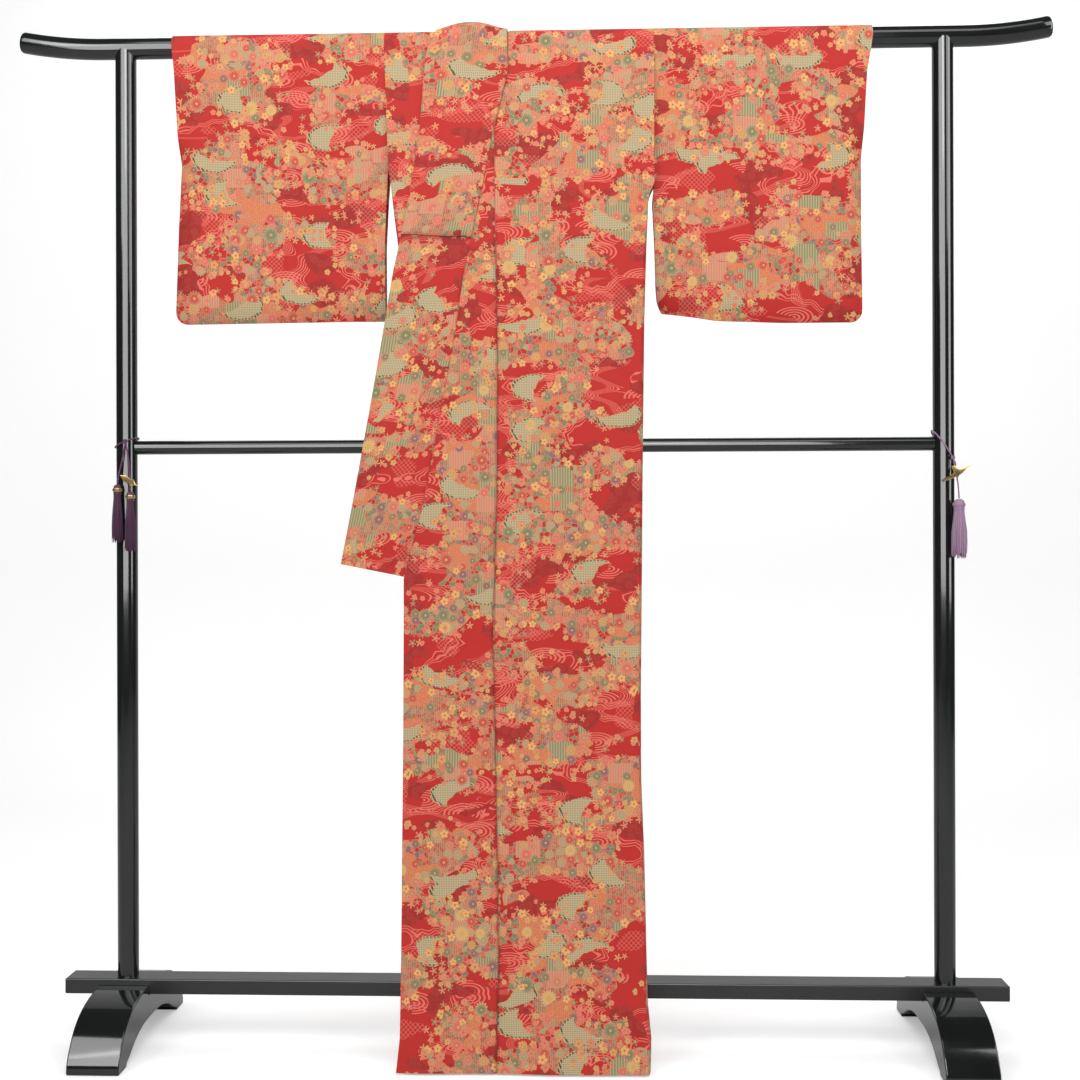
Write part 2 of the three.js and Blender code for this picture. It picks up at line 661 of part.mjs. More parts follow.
function baseRail() {
  const shape = new THREE.Shape();
  const [y, z] = [BASE_RAIL.depth / 2, BASE_RAIL.bottom];
  shape.moveTo(-y, z);
  shape.lineTo(y, z);
  shape.lineTo(y, z + BASE_RAIL.height);
  shape.lineTo(-y, z + BASE_RAIL.height);
  return extrudeAcross(shape, BASE_RAIL.length, EASED_EDGE);
}

function foot(x) {
  const half = [{ y: FOOT_TOP[0].y, z: FOOT_NOTCH }, ...FOOT_TOP, ...FOOT_UNDER];
  const outline = half.concat([...half].reverse().map((point) => ({ y: -point.y, z: point.z })));
  const shape = new THREE.Shape(outline.map((point) => new THREE.Vector2(point.y, point.z)));
  return extrudeAcross(shape, FOOT_WIDTH, FOOT_CHAMFER).translate(x, 0, 0);
}

// ---------------------------------------------------------------- ties and tassels

function cordAlong(points) {
  const path = new THREE.CatmullRomCurve3(points.map(([x, y, z]) => new THREE.Vector3(x, y, z)));
  const section = new THREE.Shape();
  for (let k = 0; k < CORD_SIDES; k += 1) {
    const angle = (2 * Math.PI * k) / CORD_SIDES;
    const [x, y] = [CORD_RADIUS * Math.cos(angle), CORD_RADIUS * Math.sin(angle)];
    if (k === 0) section.moveTo(x, y);
    else section.lineTo(x, y);
  }
  const steps = 2 * (points.length - 1);
  return new THREE.ExtrudeGeometry(section, { steps, extrudePath: path, bevelEnabled: false });
}

// A cord tied round a post: a loop rising from its low side, a knot and hanging legs.
function tie(x, { loop, knot, legs }) {
  const ring = new THREE.TorusGeometry(LOOP_RADIUS, CORD_RADIUS, 5, 24);
  ring.applyMatrix4(new THREE.Matrix4().makeShear(0, loop.rise, 0, 0, 0, 0));
  ring.translate(x, 0, loop.z);
  const bead = new THREE.SphereGeometry(KNOT_RADIUS, 8, 6).translate(knot.x, knot.y, knot.z);
  return join(ring, bead, ...legs.map(cordAlong));
}

// One strand: a three-sided prism from the head, spreading to its own place at the end.
function strand(from, to, radius) {
  const positions = [];
  const index = [];
  const levels = [0, 0.35, 1];
  levels.forEach((t) => {
    const spread = smooth(t * 1.4);
    for (let k = 0; k < 3; k += 1) {
      const angle = (2 * Math.PI * k) / 3;
      positions.push(
        mix(from[0], to[0], spread) + radius * Math.cos(angle),
        mix(from[1], to[1], spread) + radius * Math.sin(angle),
        mix(from[2], to[2], t),
      );
    }
  });
  for (let s = 0; s + 1 < levels.length; s += 1) {
    for (let k = 0; k < 3; k += 1) {
      const [a, b] = [3 * s + k, 3 * s + ((k + 1) % 3)];
      index.push(a, b, b + 3, a, b + 3, a + 3);
    }
  }
  const last = 3 * (levels.length - 1);
  index.push(0, 2, 1, last, last + 1, last + 2);
  return outward(positions, index);
}

function tassel({ x, y, top, end, radius }) {
  const neck = radius * TASSEL_NECK;
  const profile = [
    [0, 0], [neck * 0.5, -0.6], [neck * 0.9, -3], [neck, -6], [neck, -TASSEL_HEAD], [0, -TASSEL_HEAD],
  ].reverse().map(([r, z]) => new THREE.Vector2(r, z));
  const parts = [upright(new THREE.LatheGeometry(profile, 12)).translate(x, y, top - TASSEL_DROP)];
  STRAND_RINGS.forEach(({ count, reach }) => {
    for (let k = 0; k < count; k += 1) {
      const angle = (2 * Math.PI * (k + reach)) / count;
      const [dx, dy] = [Math.cos(angle) * reach, Math.sin(angle) * reach];
      const thick = radius * 0.115;
      const root = [x + dx * (neck - thick - 0.2), y + dy * (neck - thick - 0.2), top - TASSEL_HEAD];
      const tip = [x + dx * (radius - thick), y + dy * (radius - thick), end + 3 * ((k * 5) % 4)];
      parts.push(strand(root, tip, thick));
    }
  });
  return join(...parts);
}

// The thin band round a tassel's neck, of metal or wound with silk.
function tasselBand({ x, y, top, radius }) {
  const inner = radius * TASSEL_NECK + CLEARANCE;
  const [low, high, outer] = [-BAND.below - BAND.half, -BAND.below + BAND.half, inner + BAND.thick];
  const points = [[inner, low], [outer, low], [outer, high], [inner, high], [inner, low]];
  const profile = points.map(([r, h]) => new THREE.Vector2(r, h));
  return upright(new THREE.LatheGeometry(profile, 16)).translate(x, y, top - TASSEL_DROP);
}

// A small flat metal charm: a leaf or a bird in flight, seen from the front.
function charm(outline, thickness, tilt, place) {
  const shape = new THREE.Shape(outline.map(([x, z]) => new THREE.Vector2(x, z)));
  const geometry = new THREE.ExtrudeGeometry(shape, { depth: thickness, bevelEnabled: false });
  return geometry.rotateX(Math.PI / 2).rotateY(tilt).translate(...place);
}

const CHARM_THICKNESS = 1.4;
const LEAF = [
  [-16.5, 0], [-8, 5], [0, 3.6], [6, 5.6], [10, 2], [16.5, 0], [10, -2], [6, -5.6], [0, -3.6], [-8, -5],
];
const BIRD = [
  [-27, 3], [-12, 2.5], [-4, 3.2], [-3, 14], [2, 13], [5, 3.4], [16, 3], [27, 0.5],
  [16, 0], [6, -3.5], [1, -4], [-7, -9], [-4, -4], [-12, -3], [-27, -0.5],
];

// ---------------------------------------------------------------- assembly

addPart('top_rail', topRail(), LACQUER);
addPart('middle_rail', middleRail(), LACQUER);
addPart('base_rail', baseRail(), LACQUER);
[['left', -POST_X], ['right', POST_X]].forEach(([side, x]) => {
  addPart(`post_${side}`, standPost(x), LACQUER);
  addPart(`foot_${side}`, foot(x), LACQUER);
});

addPart('body_left_front', bodyLeftFront(), CLOTH);
addPart('body_left_back', bodyLeftBack(), CLOTH);
addPart('body_right_front', bodyRightFront(), CLOTH);
addPart('body_right_back', bodyRightBack(), CLOTH);
addPart('okumi_left', okumiLeft(), CLOTH);
addPart('okumi_right', okumiRight(), CLOTH);
addPart('collar_left', collarBand({ end: COLLAR_END, offset: PITCH, inset: 0, wall: WALL }), CLOTH);
addPart('collar_right', collarRight(), CLOTH);
addPart('overlay_collar', collarBand({
  end: OVERLAY_END, offset: 2 * PITCH, inset: 0.4, wall: OVERLAY_WALL,
}), CLOTH);
addPart('sleeve_left', sleeve(LEFT_SLEEVE), CLOTH);
addPart('sleeve_right', sleeve(RIGHT_SLEEVE), CLOTH);

addPart('tie_left', tie(-POST_X, LEFT_TIE), CORD);
addPart('tie_right', tie(POST_X, RIGHT_TIE), CORD);
addPart('charm_left', charm(LEAF, CHARM_THICKNESS, 0.55, [-638, -26.9, 893]), GOLD);
addPart('charm_right', charm(BIRD, CHARM_THICKNESS, -0.5, [665, -25.9, 899]), GOLD);
TASSELS.forEach((one) => {
  const silk = { ...CORD, color: one.colour };
  addPart(one.name, tassel(one), silk);
  addPart(one.name.replace('tassel', 'band'), tasselBand(one), one.gilt ? GOLD : silk);
});

export default model;
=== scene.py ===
"""A komon kimono draped over a lacquered kimono stand, with the tassels tied to its posts.

Sizes are in millimetres and turned into metres where a mesh is made. x runs to the right seen
from the front, y away from the viewer and z up from the floor.
"""
from __future__ import annotations

import json
import logging
import math
import random
from dataclasses import dataclass
from enum import Enum
from typing import Callable, NamedTuple, Sequence

import bpy
from mathutils import Euler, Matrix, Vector

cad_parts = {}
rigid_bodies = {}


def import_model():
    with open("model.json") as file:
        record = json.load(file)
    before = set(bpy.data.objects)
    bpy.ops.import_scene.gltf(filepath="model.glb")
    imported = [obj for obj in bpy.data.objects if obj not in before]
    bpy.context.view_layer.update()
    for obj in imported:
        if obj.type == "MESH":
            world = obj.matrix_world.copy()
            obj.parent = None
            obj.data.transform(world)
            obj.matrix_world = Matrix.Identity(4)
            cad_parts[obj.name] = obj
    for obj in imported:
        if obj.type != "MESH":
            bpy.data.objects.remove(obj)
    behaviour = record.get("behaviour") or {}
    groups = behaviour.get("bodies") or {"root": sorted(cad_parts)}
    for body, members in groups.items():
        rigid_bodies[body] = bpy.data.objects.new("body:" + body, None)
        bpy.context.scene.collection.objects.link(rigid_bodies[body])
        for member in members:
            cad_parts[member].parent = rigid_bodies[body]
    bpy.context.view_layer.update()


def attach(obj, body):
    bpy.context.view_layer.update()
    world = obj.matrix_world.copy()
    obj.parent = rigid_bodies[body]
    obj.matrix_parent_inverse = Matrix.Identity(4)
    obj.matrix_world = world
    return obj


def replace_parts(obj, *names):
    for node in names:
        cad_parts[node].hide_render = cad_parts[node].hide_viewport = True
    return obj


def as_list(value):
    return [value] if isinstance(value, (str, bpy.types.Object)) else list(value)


LOG = logging.getLogger("kimono")
MM = 0.001
BODY = "root"
CLOTH_MAP = "cloth"

Point = tuple[float, float, float]
Colour = tuple[float, float, float]


# ------------------------------------------------------------------ small helpers


class At(NamedTuple):
    """One row of an edge table: where the edge is at a height."""

    z: float
    x: float


def clamp(value: float, low: float = 0.0, high: float = 1.0) -> float:
    """Value kept between two limits."""
    return min(high, max(low, value))


def mix(start: float, end: float, share: float) -> float:
    """Value that lies a share of the way from start to end."""
    return start + (end - start) * share


def smooth(share: float) -> float:
    """Soft step from 0 to 1."""
    k = clamp(share)
    return k * k * (3 - 2 * k)


def read(rows: Sequence[tuple[float, float]], key: float) -> float:
    """Reads a two-column table, straight between its rows.

    Args:
        rows: the table, its first column rising.
        key: the value looked up in the first column.

    Returns:
        The second column's value there.
    """
    if key <= rows[0][0]:
        return rows[0][1]
    for low, high in zip(rows, rows[1:]):
        if key <= high[0]:
            return mix(low[1], high[1], (key - low[0]) / (high[0] - low[0]))
    return rows[-1][1]


def steps(low: float, high: float, size: float) -> list[float]:
    """Even steps of at most a size from low to high, both ends included."""
    count = max(1, math.ceil(abs(high - low) / size))
    return [mix(low, high, k / count) for k in range(count + 1)]


def linear(red: float, green: float, blue: float) -> Colour:
    """Turns a screen colour of 0 to 255 into the linear colour that a shader takes."""

    def channel(value: float) -> float:
        share = value / 255
        return share / 12.92 if share <= 0.04045 else ((share + 0.055) / 1.055) ** 2.4

    return channel(red), channel(green), channel(blue)


# ------------------------------------------------------------------ meshes


def make_object(name: str, points: Sequence[Point], faces: Sequence[Sequence[int]]) -> bpy.types.Object:
    """Makes a smooth-shaded object from points in millimetres.

    Args:
        name: the object's name.
        points: its vertices.
        faces: its faces as vertex numbers.

    Returns:
        The new object, linked to the scene.
    """
    mesh = bpy.data.meshes.new(name)
    mesh.from_pydata([(x * MM, y * MM, z * MM) for x, y, z in points], [], faces)
    mesh.validate()
    mesh.shade_smooth()
    made = bpy.data.objects.new(name, mesh)
    bpy.context.scene.collection.objects.link(made)
    return made


def face_outwards(made: bpy.types.Object) -> None:
    """Turns a closed mesh's faces outwards if its volume comes out negative."""
    mesh = made.data
    mesh.calc_loop_triangles()
    volume = sum(
        mesh.vertices[a].co.dot(mesh.vertices[b].co.cross(mesh.vertices[c].co))
        for a, b, c in (t.vertices for t in mesh.loop_triangles)
    )
    if volume < 0:
        mesh.flip_normals()


def mark_creases(made: bpy.types.Object, angle: float = 40.0) -> None:
    """Keeps edges sharper than an angle, in degrees, sharp in the shading."""
    made.data.set_sharp_from_angle(angle=math.radians(angle))


class WallPoint(NamedTuple):
    """A point of a cloth wall: its place, where it lies on the printed bolt and how much painted shade darkens
    it.
    """

    place: Point
    print_at: tuple[float, float]
    painted_shade: float = 0.0


def closed_wall(
    name: str, columns: int, rows: int, place: Callable[[int, int, int], WallPoint]
) -> bpy.types.Object:
    """Builds a closed wall of cloth from its inner and outer faces.

    Args:
        name: the object's name.
        columns: number of strips across.
        rows: number of strips along.
        place: gives the point of column, row and side, 0 inside and 1 outside.

    Returns:
        The wall, with the print's place and its painted shade on each vertex.
    """
    points: list[Point] = []
    prints: list[float] = []
    for j in range(rows + 1):
        for i in range(columns + 1):
            for side in (0, 1):
                made = place(i, j, side)
                points.append(made.place)
                prints.extend((made.print_at[0] * MM, made.print_at[1] * MM, made.painted_shade))

    def at(i: int, j: int, side: int) -> int:
        return 2 * (j * (columns + 1) + i) + side

    faces: list[tuple[int, ...]] = []
    for j in range(rows):
        for i in range(columns):
            faces.append((at(i, j, 1), at(i + 1, j, 1), at(i + 1, j + 1, 1), at(i, j + 1, 1)))
            faces.append((at(i, j, 0), at(i, j + 1, 0), at(i + 1, j + 1, 0), at(i + 1, j, 0)))
    for i in range(columns):
        faces.append((at(i, 0, 0), at(i + 1, 0, 0), at(i + 1, 0, 1), at(i, 0, 1)))
        faces.append((at(i, rows, 1), at(i + 1, rows, 1), at(i + 1, rows, 0), at(i, rows, 0)))
    for j in range(rows):
        faces.append((at(0, j, 1), at(0, j + 1, 1), at(0, j + 1, 0), at(0, j, 0)))
        faces.append((at(columns, j, 0), at(columns, j + 1, 0), at(columns, j + 1, 1), at(columns, j, 1)))
    wall = make_object(name, points, faces)
    attribute = wall.data.attributes.new(CLOTH_MAP, "FLOAT_VECTOR", "POINT")
    attribute.data.foreach_set("vector", prints)
    face_outwards(wall)
    mark_creases(wall)
    return wall


def join(name: str, parts: Sequence[bpy.types.Object]) -> bpy.types.Object:
    """Joins objects into the first of them and names it."""
    with bpy.context.temp_override(active_object=parts[0], selected_editable_objects=list(parts)):
        bpy.ops.object.join()
    parts[0].name = name
    parts[0].data.name = name
    return parts[0]


def lathe(
    name: str, profile: Sequence[tuple[float, float]], centre: Point, sides: int = 48
) -> bpy.types.Object:
    """Turns a profile about an upright axis.

    Args:
        name: the object's name.
        profile: radius and height of each ring from bottom to top, 0 radius at closed ends.
        centre: where the profile's height 0 is.
        sides: points round each ring.

    Returns:
        The closed turned body.
    """
    points: list[Point] = []
    faces: list[tuple[int, ...]] = []
    rings: list[list[int]] = []
    for radius, height in profile:
        if radius <= 0:
            points.append((centre[0], centre[1], centre[2] + height))
            rings.append([len(points) - 1])
            continue
        start = len(points)
        for k in range(sides):
            angle = 2 * math.pi * k / sides
            points.append(
                (centre[0] + radius * math.cos(angle), centre[1] + radius * math.sin(angle), centre[2] + height)
            )
        rings.append(list(range(start, start + sides)))
    for low, high in zip(rings, rings[1:]):
        for k in range(sides):
            following = (k + 1) % sides
            if len(low) == 1:
                faces.append((low[0], high[following], high[k]))
            elif len(high) == 1:
                faces.append((low[k], low[following], high[0]))
            else:
                faces.append((low[k], low[following], high[following], high[k]))
    made = make_object(name, points, faces)
    face_outwards(made)
    mark_creases(made)
    return made


def tube(name: str, path: Sequence[Point], radii: Sequence[float], sides: int = 12) -> bpy.types.Object:
    """Sweeps a round section along a path, closed at both ends.

    Args:
        name: the object's name.
        path: the middle line.
        radii: the radius at each point of the path.
        sides: points round the section.

    Returns:
        The closed tube.
    """
    line = [Vector(p) for p in path]
    points: list[Point] = []
    faces: list[tuple[int, ...]] = []
    first = (line[1] - line[0]).normalized()
    across = first.orthogonal().normalized()
    for k, centre in enumerate(line):
        along = (line[min(k + 1, len(line) - 1)] - line[max(k - 1, 0)]).normalized()
        across = (across - along * across.dot(along)).normalized()
        other = along.cross(across)
        for s in range(sides):
            angle = 2 * math.pi * s / sides
            point = centre + (across * math.cos(angle) + other * math.sin(angle)) * radii[k]
            points.append(tuple(point))
    for k in range(len(line) - 1):
        for s in range(sides):
            a, b = k * sides + s, k * sides + (s + 1) % sides
            faces.append((a, b, b + sides, a + sides))
    faces.append(tuple(reversed(range(sides))))
    faces.append(tuple(range((len(line) - 1) * sides, len(line) * sides)))
    made = make_object(name, points, faces)
    face_outwards(made)
    mark_creases(made)
    return made


def soft_path(points: Sequence[Point], per_span: int = 8) -> list[Point]:
    """Smooth curve through a few points."""
    line = [Vector(p) for p in points]
    out: list[Point] = []
    for k in range(len(line) - 1):
        before, start, end, after = (
            line[max(k - 1, 0)], line[k], line[k + 1], line[min(k + 2, len(line) - 1)]
        )
        for step in range(per_span):
            t = step / per_span
            point = 0.5 * (
                2 * start + (end - before) * t
                + (2 * before - 5 * start + 4 * end - after) * t * t
                + (3 * start - before - 3 * end + after) * t ** 3
            )
            out.append(tuple(point))
    out.append(tuple(line[-1]))
    return out


# ------------------------------------------------------------------ shader graph


class Wire:
    """A number or vector in a shader graph, with the usual arithmetic."""

    def __init__(self, graph: "Graph", socket: bpy.types.NodeSocket) -> None:
        """Wraps an output socket of a graph."""
        self.graph = graph
        self.socket = socket

    def __add__(self, other: "Wire | float") -> "Wire":
        """Sum of two values."""
        return self.graph.calc("ADD", self, other)

    def __sub__(self, other: "Wire | float") -> "Wire":
        """Difference of two values."""
        return self.graph.calc("SUBTRACT", self, other)

    def __mul__(self, other: "Wire | float") -> "Wire":
        """Product of two values."""
        return self.graph.calc("MULTIPLY", self, other)

    def __rsub__(self, other: float) -> "Wire":
        """A number less this value."""
        return self.graph.calc("SUBTRACT", other, self)

    def clamped(self) -> "Wire":
        """This value kept between 0 and 1."""
        node = self.graph.tree.nodes.new("ShaderNodeClamp")
        self.graph.feed(node.inputs[0], self)
        return Wire(self.graph, node.outputs[0])


Value = Wire | float


class Cells(NamedTuple):
    """What a cell texture gives at a point: a motif's own frame and its lots."""

    reach: Wire
    turn: Wire
    centre: Wire
    lot: Wire
    lot_two: Wire


class Graph:
    """A material's node tree, written as sums."""

    def __init__(self, name: str) -> None:
        """Starts an empty material with its output and main shader."""
        self.material = bpy.data.materials.new(name)
        self.material.use_nodes = True
        self.tree = self.material.node_tree
        self.tree.nodes.clear()
        output = self.tree.nodes.new("ShaderNodeOutputMaterial")
        self.shader = self.tree.nodes.new("ShaderNodeBsdfPrincipled")
        self.tree.links.new(self.shader.outputs["BSDF"], output.inputs["Surface"])

    def feed(self, socket: bpy.types.NodeSocket, value: Value | Sequence[float]) -> None:
        """Links a wire to a socket, or sets a plain number there."""
        if isinstance(value, Wire):
            self.tree.links.new(value.socket, socket)
        else:
            socket.default_value = value

    def calc(self, operation: str, first: Value, second: Value = 0.0, third: Value = 0.0) -> Wire:
        """One step of arithmetic.

        Args:
            operation: the Math node's operation.
            first: first input.
            second: second input.
            third: third input, for the operations that take one.

        Returns:
            The result.
        """
        node = self.tree.nodes.new("ShaderNodeMath")
        node.operation = operation
        for socket, value in zip(node.inputs, (first, second, third)):
            self.feed(socket, value)
        return Wire(self, node.outputs[0])

    def between(self, value: Value, low: float, high: float) -> Wire:
        """1 where a value lies between two limits, else 0."""
        return self.calc("LESS_THAN", self.calc("ABSOLUTE", self.calc("SUBTRACT", value, (low + high) / 2)),
                         (high - low) / 2)

    def above(self, value: Value, limit: Value, soft: float = 0.0) -> Wire:
        """1 where a value passes a limit, else 0, with a soft edge if one is asked for."""
        if soft <= 0:
            return self.calc("GREATER_THAN", value, limit)
        lifted = self.calc("SUBTRACT", value, limit)
        return self.calc("MULTIPLY_ADD", lifted, 1 / soft, 0.5).clamped()

    def vector(self, x: Value, y: Value) -> Wire:
        """A flat vector of two values."""
        node = self.tree.nodes.new("ShaderNodeCombineXYZ")
        self.feed(node.inputs[0], x)
        self.feed(node.inputs[1], y)
        return Wire(self, node.outputs[0])

    def split(self, vector: Wire) -> tuple[Wire, Wire, Wire]:
        """A vector's three parts."""
        node = self.tree.nodes.new("ShaderNodeSeparateXYZ")
        self.feed(node.inputs[0], vector)
        return tuple(Wire(self, out) for out in node.outputs)

    def cloth_place(self) -> tuple[Wire, Wire, Wire]:
        """Where the surface lies on the printed bolt, in millimetres, and how much painted shade darkens it."""
        node = self.tree.nodes.new("ShaderNodeAttribute")
        node.attribute_name = CLOTH_MAP
        across, along, painted_shade = self.split(Wire(self, node.outputs["Vector"]))
        return across * 1000.0, along * 1000.0, painted_shade

    def seen(self) -> Wire:
        """1 where the surface is seen directly and 0 where it lights or is mirrored."""
        return Wire(self, self.tree.nodes.new("ShaderNodeLightPath").outputs["Is Camera Ray"])

    def object_place(self) -> Wire:
        """The surface's place in the object, in metres."""
        node = self.tree.nodes.new("ShaderNodeTexCoord")
        return Wire(self, node.outputs["Object"])

    def noise(self, vector: Wire, scale: float = 1.0, detail: float = 2.0, flat: bool = True,
              twist: float = 0.0) -> Wire:
        """Cloudy noise from 0 to 1.

        Args:
            vector: where it is read.
            scale: how fine it is.
            detail: how many finer layers it has.
            flat: True in two dimensions, False in three.
            twist: how much it is distorted.

        Returns:
            The noise.
        """
        node = self.tree.nodes.new("ShaderNodeTexNoise")
        node.noise_dimensions = "2D" if flat else "3D"
        self.feed(node.inputs["Vector"], vector)
        for socket, value in (("Scale", scale), ("Detail", detail), ("Distortion", twist)):
            node.inputs[socket].default_value = value
        return Wire(self, node.outputs[0])

    def cells(self, across: Wire, along: Wire, size: float, jitter: float = 1.0, shift: float = 0.0) -> Cells:
        """Scattered motif frames, one in each cell of a size in millimetres.

        Args:
            across: place across the bolt.
            along: place along the bolt.
            size: distance between motifs.
            jitter: how far they leave a plain grid, from 0 to 1.
            shift: how far the scatter is moved, in millimetres.

        Returns:
            The nearest motif's frame, its middle and its two lots, from 0 to 1.
        """
        spot = self.vector((across + shift) * (1 / size), (along - shift) * (1 / size))
        node = self.tree.nodes.new("ShaderNodeTexVoronoi")
        node.voronoi_dimensions = "2D"
        node.inputs["Scale"].default_value = 1.0
        node.inputs["Randomness"].default_value = jitter
        self.feed(node.inputs["Vector"], spot)
        x, y, _ = self.split(spot)
        cx, cy, _ = self.split(Wire(self, node.outputs["Position"]))
        dx, dy = x - cx, y - cy
        reach = self.calc("SQRT", dx * dx + dy * dy) * size
        lots = self.split(Wire(self, node.outputs["Color"]))
        centre = self.vector(cx * size - shift, cy * size + shift)
        return Cells(reach, self.calc("ARCTAN2", dy, dx), centre, lots[0], lots[1])

    def cell_edge(self, across: Wire, along: Wire, size: float) -> Wire:
        """Distance to the nearest border between cells of a size, in millimetres."""
        node = self.tree.nodes.new("ShaderNodeTexVoronoi")
        node.voronoi_dimensions = "2D"
        node.feature = "DISTANCE_TO_EDGE"
        node.inputs["Scale"].default_value = 1.0
        self.feed(node.inputs["Vector"], self.vector(across * (1 / size), along * (1 / size)))
        return Wire(self, node.outputs["Distance"]) * size

    def palette(self, lot: Wire, colours: Sequence[Colour]) -> Wire:
        """Picks one of some colours by a lot from 0 to 1."""
        node = self.tree.nodes.new("ShaderNodeValToRGB")
        node.color_ramp.interpolation = "CONSTANT"
        elements = node.color_ramp.elements
        for k, colour in enumerate(colours):
            stop = elements[k] if k < 2 else elements.new(k / len(colours))
            stop.position = k / len(colours)
            stop.color = (*colour, 1.0)
        self.feed(node.inputs[0], lot)
        return Wire(self, node.outputs[0])

    def lay(self, under: Wire | Colour, over: Wire | Colour, where: Value) -> Wire:
        """Lays one colour over another where a mask says."""
        node = self.tree.nodes.new("ShaderNodeMix")
        node.data_type = "RGBA"
        self.feed(node.inputs["Factor"], where)
        for socket, colour in ((node.inputs[6], under), (node.inputs[7], over)):
            self.feed(socket, colour if isinstance(colour, Wire) else (*colour, 1.0))
        return Wire(self, node.outputs[2])

    def raise_surface(self, height: Wire, depth: float, strength: float = 1.0) -> None:
        """Turns a height from 0 to 1 into a bump of a depth in metres."""
        node = self.tree.nodes.new("ShaderNodeBump")
        node.inputs["Strength"].default_value = strength
        node.inputs["Distance"].default_value = depth
        self.feed(node.inputs["Height"], height)
        self.tree.links.new(node.outputs["Normal"], self.shader.inputs["Normal"])

    def set(self, **values: Value | Sequence[float]) -> None:
        """Sets the main shader's inputs, named with _ for spaces."""
        for name, value in values.items():
            self.feed(self.shader.inputs[name.replace("_", " ")], value)


# ------------------------------------------------------------------ finishes


@dataclass(frozen=True)
class Dyes:
    """The colours of the print."""

    ground: Colour = linear(189, 42, 36)
    deep: Colour = linear(164, 36, 33)
    beige: Colour = linear(178, 158, 118)
    pale: Colour = linear(196, 176, 136)
    gold: Colour = linear(206, 156, 98)
    dark: Colour = linear(66, 62, 48)
    sage: Colour = linear(130, 130, 94)
    yellow: Colour = linear(220, 172, 104)
    coral: Colour = linear(206, 84, 70)
    salmon: Colour = linear(206, 118, 80)
    pink: Colour = linear(222, 112, 96)
    plum: Colour = linear(140, 104, 104)
    rust: Colour = linear(140, 56, 42)
    blush: Colour = linear(208, 130, 102)


@dataclass(frozen=True)
class Blossom:
    """One kind of flower head or leaf spray, and how it is scattered."""

    spacing: float
    radius: float
    petals: int
    petal_start: float
    petal_width: float
    shift: float
    chance: float
    colours: tuple[Colour, ...]
    heart: Colour
    rim: Colour
    veined: bool = False


